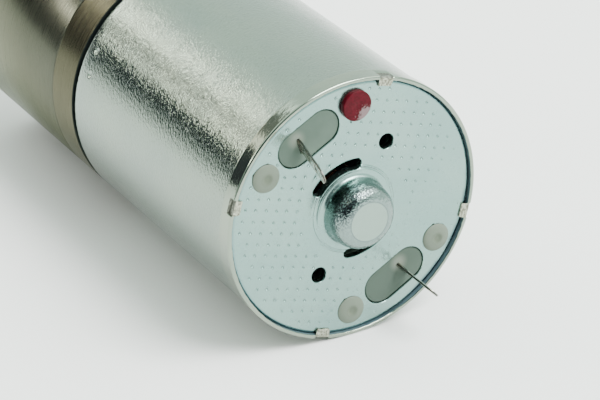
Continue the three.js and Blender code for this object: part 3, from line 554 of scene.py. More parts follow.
class Finish(Nodes):
    """A Principled material whose colour, roughness and bump come from layers of procedural nodes."""

    def __init__(self, name, metallic=0.0):
        self.material = bpy.data.materials.new(name)
        self.material.use_nodes = True
        super().__init__(self.material.node_tree)
        self.shader = self.tree.nodes["Principled BSDF"]
        self.shader.inputs["Metallic"].default_value = metallic
        self.place = self.node("ShaderNodeTexCoord").outputs["Object"]
        self.normal = None

    def noise(self, per_mm, detail, roughness=0.55, offset=0.0):
        """Noise with a number of features per mm, the same all round or its own along x, y and z."""
        if not isinstance(per_mm, tuple):
            per_mm = (per_mm,) * 3
        inputs = {0: self.place, 1: tuple(v / MM for v in per_mm), 2: (offset,) * 3}
        at = self.node("ShaderNodeVectorMath", inputs, operation="MULTIPLY_ADD")
        inputs = {"Vector": at.outputs[0], "Scale": 1.0, "Detail": detail, "Roughness": roughness}
        return self.node("ShaderNodeTexNoise", inputs).outputs["Fac"]

    def axis(self, index):
        return self.node("ShaderNodeSeparateXYZ", {0: self.place}).outputs[index]

    def radius(self):
        """Distance from the main axis, in metres."""
        flat = self.vector("MULTIPLY", self.place, (1.0, 0.0, 1.0)).outputs[0]
        return self.vector("LENGTH", flat).outputs["Value"]

    def distance(self, point):
        """Distance from a point given in mm, in metres."""
        return self.vector("DISTANCE", self.place, tuple(v * MM for v in point)).outputs["Value"]

    def toward(self, direction):
        """How far a place lies in a direction from the origin, in metres."""
        return self.vector("DOT_PRODUCT", self.place, direction).outputs["Value"]

    def bump(self, height, depth_mm):
        inputs = {"Height": height, "Distance": depth_mm * MM, "Strength": 1.0}
        if self.normal:
            inputs["Normal"] = self.normal
        self.normal = self.node("ShaderNodeBump", inputs).outputs["Normal"]

    def done(self, colour, roughness):
        self.feed(self.shader.inputs["Base Color"], colour)
        self.feed(self.shader.inputs["Roughness"], roughness)
        if self.normal:
            self.feed(self.shader.inputs["Normal"], self.normal)
        return self.material


def worked_metal(name, base, tint, roughness, spread, grain, depth, metallic=1.0):
    """Metal with a directional grain, a slow change of tint and fine specks in its colour."""
    made = Finish(name, metallic)
    cloud = made.noise(0.25, detail=4.0)
    lines = made.noise(grain, detail=3.0, roughness=0.6)
    specks = made.noise(5.0, detail=2.0)
    made.bump(lines, depth)
    colour = made.mixed(made.remap(cloud, 0.3, 0.7), base, tint)
    darker = tuple(v * 0.78 for v in base)
    colour = made.mixed(made.remap(specks, 0.62, 0.75, 0.0, 0.5), colour, darker)
    sheen = made.math("ADD", made.remap(cloud, 0.25, 0.75, -spread, spread), roughness)
    sheen = made.math("ADD", sheen, made.remap(lines, 0.2, 0.8, -0.5 * spread, 0.5 * spread))
    return made.done(colour, sheen)


def moulded(name, base, tint, roughness, grain, depth):
    """Plastic or board with a fine uneven surface."""
    made = Finish(name)
    cloud = made.noise(0.3, detail=4.0)
    skin = made.noise(grain, detail=4.0)
    made.bump(skin, depth)
    colour = made.mixed(made.remap(cloud, 0.3, 0.7), base, tint)
    return made.done(colour, made.remap(skin, 0.2, 0.8, roughness - 0.08, roughness + 0.08))


def can_body_finish():
    """Galvanised sheet with short streaks round the can, each a little dent in the sheen."""
    made = Finish("zinc_drawn", 1.0)
    cloud = made.noise((0.08, 0.05, 0.08), detail=4.0)
    streaks = made.noise((2.3, 4.4, 2.3), detail=2.0, roughness=0.55)
    fine = made.noise((4.0, 7.0, 4.0), detail=2.0)
    dull = made.noise((0.35, 0.2, 0.35), detail=3.0, offset=7.0)
    made.bump(streaks, 0.05)
    made.bump(fine, 0.012)
    colour = made.mixed(made.remap(cloud, 0.35, 0.65), (0.235, 0.285, 0.24), (0.21, 0.26, 0.23))
    colour = made.mixed(made.remap(fine, 0.56, 0.72, 0.0, 0.6), colour, (0.13, 0.145, 0.125))
    return made.done(colour, made.remap(dull, 0.3, 0.7, 0.11, 0.17))


def can_band_finish():
    made = Finish("zinc_smooth", 1.0)
    cloud = made.noise((0.12, 0.3, 0.12), detail=3.0)
    ripple = made.noise((0.9, 1.3, 0.9), detail=3.0)
    fine = made.noise(3.2, detail=3.0)
    made.bump(ripple, 0.02)
    made.bump(fine, 0.006)
    colour = made.mixed(made.remap(cloud, 0.35, 0.65), (0.255, 0.295, 0.24), (0.22, 0.265, 0.22))
    colour = made.mixed(made.remap(ripple, 0.58, 0.75, 0.0, 0.4), colour, (0.2, 0.215, 0.165))
    return made.done(colour, made.remap(ripple, 0.3, 0.7, 0.07, 0.12))


def stake_finish(name, bright, worn, mark):
    """Rough sheared metal of a stake, mottled between bright and worn."""
    made = Finish(name, 1.0)
    mottle = made.noise(3.0, detail=4.0, roughness=0.7)
    made.bump(mottle, mark)
    colour = made.mixed(made.remap(mottle, 0.42, 0.58), worn, bright)
    return made.done(colour, made.remap(mottle, 0.3, 0.7, 0.42, 0.25))


def end_plate_finish():
    made = Finish("zinc_plate_cool", 1.0)
    cloud = made.noise(0.1, detail=4.0)
    orange_peel = made.noise(1.1, detail=3.0)
    fine = made.noise(6.0, detail=2.0)
    radius = made.radius()
    y = made.axis(1)
    raised = made.remap(y, -0.0796, -0.0802)
    top = made.remap(radius, 0.0028, 0.0025)
    rounding = made.math("SUBTRACT", made.remap(y, -0.0808, -0.0815), top)
    made.bump(orange_peel, 0.012)
    made.bump(fine, 0.0025)
    rolled = made.noise((3.6, 5.0, 3.6), detail=1.5, roughness=0.5, offset=3.0)
    made.bump(made.times(rolled, rounding), 0.07)
    colour = made.mixed(made.remap(cloud, 0.35, 0.65), (0.235, 0.345, 0.317), (0.21, 0.32, 0.3))
    colour = made.mixed(made.remap(fine, 0.62, 0.8, 0.0, 0.5), colour, (0.17, 0.25, 0.235))
    colour = made.mixed(raised, colour, (0.21, 0.285, 0.27))
    colour = made.mixed(rounding, colour, (0.2, 0.265, 0.25))
    # Painted dark reflection: the rounding's real streaks are coloured almost black, but only on its
    # upper-left side.
    rubbed_and_shaded = made.remap(made.toward((-0.66, 0.0, 0.75)), 0.0014, 0.0034, 0.15, 0.85)
    marks = made.times(made.remap(rolled, 0.4, 0.56), made.times(rubbed_and_shaded, rounding))
    colour = made.mixed(marks, colour, (0.04, 0.05, 0.056))
    colour = made.mixed(top, colour, (0.245, 0.32, 0.285))
    # Painted shade: a dark ring along the edge of the dome's flat end.
    crease_shade = made.times(made.remap(radius, 0.00262, 0.00272), made.remap(radius, 0.00285, 0.00275))
    crease_shade = made.times(crease_shade, made.times(raised, 0.5))
    colour = made.mixed(crease_shade, colour, (0.08, 0.11, 0.11))
    sheen = made.remap(orange_peel, 0.3, 0.7, 0.2, 0.27)
    sheen = made.math("SUBTRACT", sheen, made.remap(raised, 0, 1, 0.0, 0.12))
    sheen = made.math("ADD", sheen, made.remap(top, 0, 1, 0.0, 0.2))
    worn = made.remap(made.noise(0.9, detail=4.0, offset=5.0), 0.5, 0.68, 0.0, 0.06)
    sheen = made.math("ADD", sheen, worn)
    # Painted shade and dark reflection: a dark teal tint towards the plate's rolled outer edge, where it
    # curves down into the can.
    colour = made.mixed(made.remap(radius, 0.0171, 0.0176), colour, (0.13, 0.225, 0.235))
    # Painted shade: a patchy dark blue band along the plate's edge on the lower right, where the rim's inner
    # wall is in shadow.
    sector = made.remap(made.toward((0.883, 0.0, -0.469)), 0.0138, 0.0156)
    patchy = made.remap(made.noise(0.22, detail=1.0, offset=11.0), 0.4, 0.52, 0.25, 0.9)
    rim_shade_sector = made.times(made.times(sector, patchy), made.remap(radius, 0.0166, 0.0173))
    return made.done(made.mixed(rim_shade_sector, colour, (0.035, 0.065, 0.085)), sheen)


def nylon_finish():
    made = Finish("nylon", 0.0)
    cloud = made.noise(0.18, detail=4.0)
    skin = made.noise(3.0, detail=3.0)
    made.bump(skin, 0.006)
    colour = made.mixed(made.remap(cloud, 0.35, 0.65), (0.085, 0.12, 0.097), (0.07, 0.102, 0.082))
    # Painted dark reflection: the second oblong boss is coloured darker than the first, though both are the
    # same nylon.
    x, z = polar(OBLONG_CENTRE, CARD_AXIS + 180)
    second = made.remap(made.distance((x, OBLONG_REAR_Y, z)), 0.0055, 0.005, 0.0, 0.75)
    colour = made.mixed(second, colour, (0.058, 0.082, 0.066))
    for side in (0, 1):
        x, z = blade_frame(side)[0]
        milky = made.distance((x + MILKY_SPOT[0], OBLONG_REAR_Y, z + MILKY_SPOT[1]))
        mask = made.remap(milky, 0.0016, 0.0002, 0.0, 0.6)
        colour = made.mixed(mask, colour, (0.22, 0.245, 0.2))
    y = made.axis(1)
    head = made.remap(y, -0.07906, -0.07912)
    colour = made.mixed(head, colour, (0.135, 0.162, 0.128))
    # Painted shade: the dimple in the middle of each post head is coloured darker.
    for x, z in POSTS:
        pit_shade = made.remap(made.distance((x, HEAD_PIT_Y, z)), 0.0004, 0.0011, 0.75, 0.0)
        colour = made.mixed(pit_shade, colour, (0.1, 0.12, 0.088))
    x, z = POSTS[0]  # its head carries the red paint
    near = made.remap(made.distance((x, PAINT_Y, z)), 0.00235, 0.0022)
    worn_side = made.distance((x + WORN_SPOT[0], WORN_SPOT[1], z + WORN_SPOT[2]))
    ragged = made.noise(3.2, detail=5.0, roughness=0.7, offset=2.0)
    worn = made.math("ADD", worn_side, made.remap(ragged, 0.25, 0.75, -0.0009, 0.0009, smooth=False))
    paint = made.times(near, made.remap(worn, 0.00095, 0.00135))
    shade_of_red = made.mixed(made.remap(ragged, 0.35, 0.65), (0.07, 0.0003, 0.006), (0.042, 0.0003, 0.003))
    rubbed_and_shaded = made.times(near, made.remap(worn, 0.0014, 0.0010))
    colour = made.mixed(rubbed_and_shaded, colour, (0.17, 0.12, 0.125))
    colour = made.mixed(paint, colour, shade_of_red)
    made.bump(paint, 0.03)
    made.shader.inputs["Specular IOR Level"].default_value = 0.1
    made.shader.inputs["Subsurface Weight"].default_value = 0.12
    made.shader.inputs["Subsurface Radius"].default_value = (0.4, 0.4, 0.35)
    made.shader.inputs["Subsurface Scale"].default_value = 0.0008
    return made.done(colour, made.remap(skin, 0.2, 0.8, 0.36, 0.46))


def tin_finish(name, base, stained, roughness):
    """Tinned strip with a fine rolled grain and brown stains."""
    made = Finish(name, 1.0)
    cloud = made.noise(0.7, detail=4.0)
    rolled = made.noise((9.0, 1.6, 9.0), detail=3.0)
    made.bump(rolled, 0.008)
    colour = made.mixed(made.remap(cloud, 0.45, 0.7), base, stained)
    return made.done(colour, made.remap(rolled, 0.3, 0.7, roughness - 0.07, roughness + 0.07))


def turned_finish(name, base, tint, roughness, grazing=(1.0, 1.0, 1.0)):
    """Turned steel: fine tool marks round the axis. grazing tints its reflection at flat angles."""
    made = Finish(name, 1.0)
    made.shader.inputs["Specular Tint"].default_value = (*grazing, 1.0)
    cloud = made.noise(0.09, detail=4.0)
    marks = made.noise((0.12, 11.0, 0.12), detail=3.0, roughness=0.65)
    nicks = made.noise((2.4, 5.0, 2.4), detail=2.0)
    made.bump(marks, 0.003)
    made.bump(nicks, 0.003)
    colour = made.mixed(made.remap(cloud, 0.35, 0.65), base, tint)
    colour = made.mixed(made.remap(marks, 0.5, 0.8, 0.0, 0.3), colour, tuple(v * 0.7 for v in base))
    return made.done(colour, made.remap(marks, 0.25, 0.75, roughness - 0.06, roughness + 0.08))


def floor_finish():
    made = Finish("pale_floor")
    cloud = made.noise(0.004, detail=3.0)
    colour = made.mixed(made.remap(cloud, 0.3, 0.7), (0.92, 0.92, 0.915), (0.89, 0.895, 0.89))
    made.bump(made.noise(0.8, detail=2.0), 0.01)
    return made.done(colour, made.remap(cloud, 0.3, 0.7, 0.6, 0.7))


CAN_BODY = can_body_finish()
CAN_BAND = can_band_finish()
STAKE_TAB = stake_finish("stake_tab", (0.4, 0.41, 0.33), (0.15, 0.15, 0.115), 0.04)
# The notch's colours are a darker copy of the tab's: painted shade in the pressed notch.
STAKE_NOTCH_SHADE = stake_finish("stake_notch_painted_shade", (0.2, 0.21, 0.175), (0.09, 0.095, 0.08), 0.03)
# Painted shade and dark reflection: the dark blue-grey colour of the rim's inner wall above the plate.
LIP_WALL_SHADE = worked_metal(
    "lip_wall_painted_shade", (0.10, 0.155, 0.17), (0.07, 0.12, 0.14), 0.5, 0.08, 2.0, 0.01, metallic=0.3
)
END_PLATE = end_plate_finish()
NYLON = nylon_finish()
TIN = tin_finish("tin_plate", (0.52, 0.52, 0.46), (0.34, 0.27, 0.19), 0.27)
TIN_EDGE = tin_finish("sheared_edge", (0.075, 0.078, 0.07), (0.045, 0.045, 0.04), 0.38)
HOUSING = turned_finish(
    "turned_grey_steel", (0.078, 0.081, 0.064), (0.066, 0.069, 0.055), 0.25, (0.8, 0.81, 0.7)
)
FLANGE = turned_finish(
    "turned_yellowed_steel", (0.068, 0.065, 0.044), (0.058, 0.056, 0.038), 0.25, (0.8, 0.79, 0.7)
)
# A dark finish for the flange's rear face: painted shade in the seam between the gearbox and the can.
SEAM_SHADE = worked_metal("flange_rear_painted_shade", (0.035, 0.042, 0.04), (0.02, 0.026, 0.026), 0.5, 0.08, 2.0, 0.01)
SHAFT = turned_finish("ground_steel", (0.52, 0.53, 0.53), (0.45, 0.46, 0.46), 0.22)
STEEL = worked_metal("plain_steel", (0.50, 0.51, 0.52), (0.42, 0.43, 0.44), 0.3, 0.06, (1.2, 4.0, 1.2), 0.01)
GEAR = worked_metal("gear_steel", (0.40, 0.41, 0.42), (0.31, 0.32, 0.33), 0.3, 0.08, (2.0, 0.5, 2.0), 0.01)
BLACK = worked_metal("black_oxide", (0.045, 0.046, 0.05), (0.03, 0.03, 0.033), 0.38, 0.08, 3.0, 0.012)
BRONZE = worked_metal("sintered_bronze", (0.45, 0.31, 0.14), (0.36, 0.24, 0.11), 0.45, 0.08, 4.0, 0.02)
SPRING = worked_metal(
    "phosphor_bronze", (0.55, 0.36, 0.17), (0.47, 0.29, 0.13), 0.25, 0.06, (6.0, 0.6, 6.0), 0.006
)
COPPER = worked_metal(
    "bar_copper", (0.62, 0.27, 0.13), (0.45, 0.18, 0.08), 0.25, 0.07, (0.4, 7.0, 0.4), 0.008
)
LAMINATION = worked_metal(
    "stacked_steel", (0.30, 0.31, 0.32), (0.2, 0.2, 0.21), 0.42, 0.08, (0.1, 2.0, 0.1), 0.05
)
ENAMEL = worked_metal(
    "enamelled_wire", (0.40, 0.13, 0.045), (0.28, 0.08, 0.03), 0.28, 0.08, (3.2, 0.4, 3.2), 0.09
)
CARBON = moulded("copper_graphite", (0.035, 0.034, 0.033), (0.06, 0.045, 0.038), 0.55, 5.0, 0.02)
FERRITE = moulded("ferrite", (0.05, 0.05, 0.053), (0.035, 0.035, 0.037), 0.6, 3.0, 0.03)
PHENOLIC = moulded("phenolic", (0.045, 0.022, 0.013), (0.03, 0.016, 0.01), 0.5, 1.5, 0.01)
BOARD = moulded("insulating_board", (0.66, 0.64, 0.54), (0.58, 0.55, 0.45), 0.6, 2.5, 0.02)
CERAMIC = moulded("dark_ceramic", (0.02, 0.022, 0.026), (0.03, 0.03, 0.034), 0.5, 2.0, 0.015)

SLOT_FINISHES = {
    "can": CAN_BODY,
    "end_plate": END_PLATE,
    "nylon": NYLON,
    "terminal": TIN,
    "spring": SPRING,
    "carbon": CARBON,
    "ferrite": FERRITE,
    "steel": STEEL,
    "gear": GEAR,
    "bush": BRONZE,
    "screw": BLACK,
    "flange": FLANGE,
    "housing": HOUSING,
    "lamination": LAMINATION,
    "insulator": BOARD,
    "enamel": ENAMEL,
    "copper": COPPER,
    "phenolic": PHENOLIC,
    "varistor": CERAMIC,
}


def finish_cad_nodes():
    """Gives every carried-over CAD node the procedural finish of its material slot."""
    for part in frame["record"]["subparts"]:
        mesh = frame["nodes"][part["node"]].data
        mesh.materials.clear()
        mesh.materials.append(SLOT_FINISHES[part["material_slot"]])


def settle(piece, body, slot, *nodes):
    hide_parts(*nodes)
    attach(piece, body)


# ---- motor: can, end plate, brush card and terminals ----


def near_stake(degrees):
    """1 on a stake, 0 away from it, with steep sides."""
    off = min(abs((degrees - angle + 180) % 360 - 180) for angle in STAKE_ANGLES)
    return 1 - step_up(off, STAKE_HALF - 0.35, STAKE_HALF + 0.1)


def lip_ripple(turn):
    """How far the lip's edge wanders in and out, in mm, at an angle in radians."""
    return 0.025 * math.sin(37 * turn + 1.3) * math.sin(23 * turn) + 0.012 * math.sin(91 * turn)


def can_angles():
    angles = set(evenly_round(360))
    for stake in STAKE_ANGLES:
        for side in (-1, 1):
            for i in range(9):
                angles.add((stake + side * (STAKE_HALF - 0.45 + 0.08 * i)) % 360)
    for dimple, _ in DIMPLES:
        for i in range(-11, 12):
            angles.add(dimple + 0.25 * i)
    return sorted(angles)


def make_can():
    wall_y = CAN_FRONT_Y - CAN_WALL
    boss_y = CAN_FRONT_Y + BOSS_LENGTH
    inner = BODY_RADIUS - CAN_WALL
    ledge_y = PLATE_FRONT_Y + GAP
    profile = rounded(
        [
            (MOUTH_RADIUS, RIM_Y, 0.36),
            (MOUTH_RADIUS, RIM_Y + 0.95, 0),
            (MOUTH_RADIUS, RIM_Y + 1.05, 0),
            (MOUTH_RADIUS, MOUTH_END_Y, 0.1),
            (BODY_RADIUS - 0.06, MOUTH_END_Y + 0.06, 0.05),
            (BODY_RADIUS, MOUTH_END_Y + 0.4, 0.3),
            *[(BODY_RADIUS, DIMPLE_ROWS[0] + 0.08 * i, 0) for i in range(25)],
            (BODY_RADIUS, CAN_FRONT_Y, CAN_CORNER),
            (BOSS_RADIUS, CAN_FRONT_Y, 0.3),
            (BOSS_RADIUS, boss_y, 0.4),
            (BOSS_BORE, boss_y, 0.2),
            (BOSS_BORE, boss_y - CAN_WALL, 0.1),
            (BOSS_RADIUS - CAN_WALL, boss_y - CAN_WALL, 0.1),
            (BOSS_RADIUS - CAN_WALL, wall_y, 0.2),
            (inner, wall_y, 0.7),
            (inner, ledge_y, 0.05),
            (MOUTH_SEAT, ledge_y, 0.05),
            (MOUTH_SEAT, PLATE_REAR_Y - 0.06, 0),
            (MOUTH_SEAT, PLATE_REAR_Y - 0.12, 0),
            (MOUTH_SEAT, RIM_Y, LIP_ROUNDING),
        ],
        steps=6,
    )

    def staked(radius, y, degrees):
        """Presses the two small marks, the lip's ripple and the stakes into the wall."""
        if abs(radius - BODY_RADIUS) < 0.001 and DIMPLE_ROWS[0] < y < DIMPLE_ROWS[1]:
            for dimple, at_y in DIMPLES:
                along = math.radians(degrees - dimple) * BODY_RADIUS
                away = math.hypot(along, y - at_y) / DIMPLE_RADIUS
                radius -= DIMPLE_DEPTH * hollow(away)
            return radius, y
        amount = near_stake(degrees)
        lip = radius <= MOUTH_SEAT + LIP_ROUNDING + 0.01
        if lip and y <= PLATE_REAR_Y - 0.05:
            radius += lip_ripple(math.radians(degrees))
        if amount == 0 or y > RIM_Y + 1.0:
            return radius, y
        if radius > NOTCH_RADIUS:
            depth = 0.08 if degrees < 120 else 0.3  # the first stake was struck more lightly
            return radius - depth * amount * step_up(radius, NOTCH_RADIUS, NOTCH_RADIUS + 0.15), y
        if lip and y <= PLATE_REAR_Y - 0.1:
            inward = (MOUTH_SEAT - STAKE_INNER) * amount
            return radius - inward, y + 0.1 * amount
        return radius, y + 0.1 * amount

    materials = [CAN_BODY, CAN_BAND, STAKE_TAB, STAKE_NOTCH_SHADE, LIP_WALL_SHADE]
    body, band, tab, notch, wall = range(len(materials))

    def part_of_can(centre):
        radius = math.hypot(centre.x, centre.z)
        degrees = math.degrees(math.atan2(centre.z, centre.x))
        if near_stake(degrees) > 0.5 and centre.y < RIM_Y + 1.02 and radius > STAKE_INNER - 0.85:
            if radius > NOTCH_RADIUS - 0.03:
                return notch
            if centre.y < PLATE_REAR_Y + 0.2:
                return tab
        if abs(radius - MOUTH_SEAT) < 0.08 and centre.y > RIM_Y + LIP_ROUNDING - 0.02:
            return wall
        return band if centre.y < MOUTH_END_Y + 0.02 and radius > MOUTH_SEAT - 0.5 else body

    part = lathe(profile, can_angles(), moved=staked)
    piece = build("motor_can_shell", part, materials, sharp=40, pick=part_of_can)
    settle(piece, "root", "can", "motor_can")


def dent_centres(rng):
    """A square grid of shallow pips, left out near the openings, the dome and the rim."""
    start = (-15.15, 5.28)
    along = polar(DENT_PITCH, DENT_TURN)
    across = (-along[1], along[0])
    wander = 0.05
    found = []
    reach = range(-26, 27)
    for i in reach:
        for j in reach:
            x = start[0] + i * along[0] + j * across[0] + rng.uniform(-wander, wander)
            z = start[1] + i * along[1] + j * across[1] + rng.uniform(-wander, wander)
            depth = rng.uniform(0.15, 0.21) * (1 - 0.7 * step_up(x - 0.9 * z, 4, 14))
            if DENTS_FROM < math.hypot(x, z) < DENTS_TO and plate_edge((x, z)) > DENT_MARGIN:
                found.append((x, z, depth))
    return found


def plate_edge(point):
    """Distance from the nearest edge of the end plate's sheet, negative outside it."""
    nearest = PLATE_RADIUS - math.hypot(*point)
    for side in (0, 1):
        nearest = min(nearest, oblong_distance(point, side) - OBLONG_END - GAP)
    for ends in SLOT_ANGLES:
        nearest = min(nearest, slot_distance(point, ends) - SLOT_HALF)
    for vent in VENTS:
        nearest = min(nearest, math.dist(point, vent) - VENT_RADIUS)
    for post in POSTS:
        nearest = min(nearest, math.dist(point, post) - POST_RADIUS - GAP)
    return nearest


def raised_height(radius):
    """Height of the two low rings round the foot of the dome."""
    height = 0.13 * (1 - step_up(radius, 5.95, 6.15))
    height += 0.12 * (1 - step_up(radius, 5.58, 5.72))
    height -= 0.04 * math.exp(-(((radius - 5.83) / 0.05) ** 2))
    return height


def make_end_plate():
    rng = random.Random(7)
    fillet = 0.14  # of every punched edge
    offsets = (0.012, 0.045, 0.09, 0.15, 0.2, 0.27)
    dents = dent_centres(rng)
    rim_count, dome_count = 420, 180
    loops = [circle_loop(PLATE_RADIUS, rim_count), circle_loop(RAISED_RADIUS, dome_count)]
    points = []
    for side in (0, 1):
        loops.append(oblong_loop(side, OBLONG_END + GAP))
        for offset in offsets:
            points += oblong_loop(side, OBLONG_END + GAP + offset)
    for ends in SLOT_ANGLES:
        loops.append(slot_loop(ends, SLOT_HALF))
        for offset in offsets:
            points += slot_loop(ends, SLOT_HALF + offset)
    for centres, radius, count in ((VENTS, VENT_RADIUS, 64), (POSTS, POST_RADIUS + GAP, 64)):
        for centre in centres:
            loops.append(circle_loop(radius, count, centre))
            for offset in offsets:
                points += circle_loop(radius + offset, count, centre)
    for offset in offsets:
        points += circle_loop(PLATE_RADIUS - offset, rim_count)
    for i in range(1, 9):
        points += circle_loop(PLATE_RADIUS - EDGE_ROLL_WIDTH * i / 8, 300)
    for i in range(1, 23):
        points += circle_loop(RAISED_RADIUS + 0.045 * i, dome_count)
    for x, z, _ in dents:
        points.append((x, z))
        for radius, count in ((0.07, 6), (0.14, 10), (0.2, 10), (0.28, 10)):
            points += circle_loop(radius, count, (x, z))
    spread = 1.22  # of the points that fill the open areas
    for i in range(-14, 15):
        for j in range(-14, 15):
            points.append((spread * i + 0.3 * (j % 2), spread * j))
    points = [p for p in points if plate_edge(p) > 0.008 and math.hypot(*p) > RAISED_RADIUS + 0.01]
    cells = {}
    for x, z, depth in dents:
        cells.setdefault((round(x), round(z)), []).append((x, z, depth))

    def rear(point):
        radius = math.hypot(*point)
        height = raised_height(radius)
        if radius > RAISED_RADIUS + 0.005:
            height -= drop_at_edge(plate_edge(point), fillet)
            rolled = 1 - min(1.0, max(0.0, PLATE_RADIUS - radius) / EDGE_ROLL_WIDTH)
            height -= EDGE_ROLL_DEPTH * rolled * rolled
        for cell in cells_around(round(point[0]), round(point[1])):
            for x, z, depth in cells.get(cell, ()):
                height -= depth * hollow(math.dist(point, (x, z)) / DENT_RADIUS)
        return PLATE_REAR_Y - height

    def material_here(point):
        return plate_edge(point) > 0 and math.hypot(*point) > RAISED_RADIUS

    flat = sheet(loops, points, material_here, rear, lambda point: PLATE_FRONT_Y)
    joint = raised_height(RAISED_RADIUS)
    crown = DOME_HEIGHT
    shoulder = crown - 0.004
    outer = [(0, crown), (1.5, crown), (2.62, crown), (DOME_FLAT, shoulder)]
    for degrees in range(5, 90, 5):
        a = math.radians(degrees)
        down = SHOULDER_DROP * (1 - math.cos(a))
        outer.append((DOME_FLAT + SHOULDER_WIDTH * math.sin(a), shoulder - down))
    outer += [(4.485, 1.5), (4.49, 1.0)]
    for i in range(9):
        a = math.radians(84 - 84 * i / 8)
        up = FOOT_HEIGHT * (1 - math.cos(a))
        outer.append((4.55 + FOOT_WIDTH * (1 - math.sin(a)), joint + 0.02 + up))
    outer.append((RAISED_RADIUS, joint))
    inside = [(RAISED_RADIUS, PLATE_FRONT_Y), (DOME_BORE, PLATE_FRONT_Y)]
    top_y = PLATE_REAR_Y - DOME_HEIGHT + 1.0
    inside += [(DOME_BORE, top_y), (0, top_y)]
    profile = [(r, PLATE_REAR_Y - h) for r, h in outer] + inside
    verts, faces = lathe(profile, dome_count)
    first = 1 + (len(outer) - 2) * dome_count  # of the two rings where the dome meets the sheet
    joined = set(range(first, first + 2 * dome_count))
    faces = [face for face in faces if not set(face) <= joined]
    piece = build("end_plate_pressing", merged(flat, (verts, faces)), [END_PLATE], sharp=38, weld=0.002)
    settle(piece, "root", "end_plate", "end_plate")


def steep_head():
    """Radius and outline of a flat-topped post head with a steep side."""
    wide, lift, soft = 2.05, 0.72, 0.14
    top = [(0, lift - 0.08), (0.25, lift - 0.06), (0.6, lift - 0.01), (1.0, lift)]
    for degrees in range(0, 91, 15):
        a = math.radians(degrees)
        top.append((wide - soft + soft * math.sin(a), lift - soft * (1 - math.cos(a))))
    return wide, top + [(wide, 0.1)]


def dimpled_head():
    """Radius and outline of a post head like a low lens, dimpled in the middle."""
    wide, lift, dimple, steps = 1.97, 0.4, 0.16, 26
    top = []
    for i in range(steps):
        share = i / steps
        sunk = dimple * (1 - step_up(share * wide, 0.25, 0.8))
        top.append((share * wide, lift * (1 - share**4) - sunk + 0.03))
    return wide, top


def make_brush_card():
    """The nylon card behind the plate, its oblong bosses and the staked heads of its four posts."""
    base = lathe(
        rounded(
            [
                (CARD_BORE, CARD_REAR_Y, 0.1),
                (CARD_RADIUS, CARD_REAR_Y, 0.15),
                (CARD_RADIUS, CARD_FRONT_Y + CARD_RIM_LENGTH, 0.2),
                (CARD_RADIUS - CARD_RIM_WALL, CARD_FRONT_Y + CARD_RIM_LENGTH, 0.2),
                (CARD_RADIUS - CARD_RIM_WALL, CARD_FRONT_Y, 0.3),
                (CARD_BORE, CARD_FRONT_Y, 0.2),
            ],
            steps=4,
        ),
        180,
    )
    card = build("brush_card_base", base, [NYLON])
    tools = [drill(CARD_VENT_RADIUS, CARD_REAR_Y - CUT_PAST, CARD_FRONT_Y + CUT_PAST, vent) for vent in VENTS]
    tools += [blade_slot(side) for side in (0, 1)]
    cut(card, tools)
    settle(card, "root", "nylon", "brush_card")

    bosses = []
    for side in (0, 1):
        loops = [oblong_loop(side, OBLONG_END), blade_slot_loop(side)]
        points = []
        for offset in (0.012, 0.045, 0.1, 0.16):
            points += oblong_loop(side, OBLONG_END - offset)

        def inside(point, side=side):
            return oblong_distance(point, side) < OBLONG_END and not in_blade_slot(point, side)

        def rear(point, side=side):
            return OBLONG_REAR_Y + drop_at_edge(OBLONG_END - oblong_distance(point, side), 0.15)

        points = [p for p in points if inside(p)]
        bosses.append(sheet(loops, points, inside, rear, lambda point: CARD_FRONT_Y + 0.7))
    piece = build("brush_card_bosses", merged(*bosses), [NYLON], sharp=50)
    settle(piece, "root", "nylon", "brush_card")

    heads = []
    for index, centre in enumerate(POSTS):
        wide, top = steep_head() if index == 0 else dimpled_head()
        foot_y, root_y = PLATE_REAR_Y - 0.05, CARD_REAR_Y + 0.5
        profile = [(r, foot_y - h) for r, h in top]
        profile += [(wide - 0.02, foot_y), (POST_RADIUS, foot_y), (POST_RADIUS, root_y), (0, root_y)]
        heads.append(lathe(profile, 64, centre=centre))
    piece = build("brush_card_posts", merged(*heads), [NYLON], sharp=40)
    settle(piece, "root", "nylon", "brush_card")


def blade_slot_loop(side, grow=BLADE_CLEARANCE):
    (x, z), radial, tangent, _ = blade_frame(side)
    half, thin = BLADE_WIDTH / 2 + grow, BLADE_THICKNESS / 2 + grow
    corners = [(-half, -thin), (half, -thin), (half, thin), (-half, thin)]
    return [(x + a * radial[0] + b * tangent[0], z + a * radial[1] + b * tangent[1]) for a, b in corners]


def in_blade_slot(point, side):
    (x, z), radial, tangent, _ = blade_frame(side)
    dx, dz = point[0] - x, point[1] - z
    across = abs(dx * radial[0] + dz * radial[1])
    along = abs(dx * tangent[0] + dz * tangent[1])
    half, thin = BLADE_WIDTH / 2 + BLADE_CLEARANCE, BLADE_THICKNESS / 2 + BLADE_CLEARANCE
    return across < half and along < thin


def blade_slot(side):
    corners = blade_slot_loop(side, grow=GAP)
    ends = (CARD_REAR_Y - CUT_PAST, CARD_FRONT_Y + CUT_PAST)
    verts = [(x, y, z) for y in ends for x, z in corners]
    return verts, [(0, 1, 2, 3), (7, 6, 5, 4), (0, 4, 5, 1), (1, 5, 6, 2), (2, 6, 7, 3), (3, 7, 4, 0)]


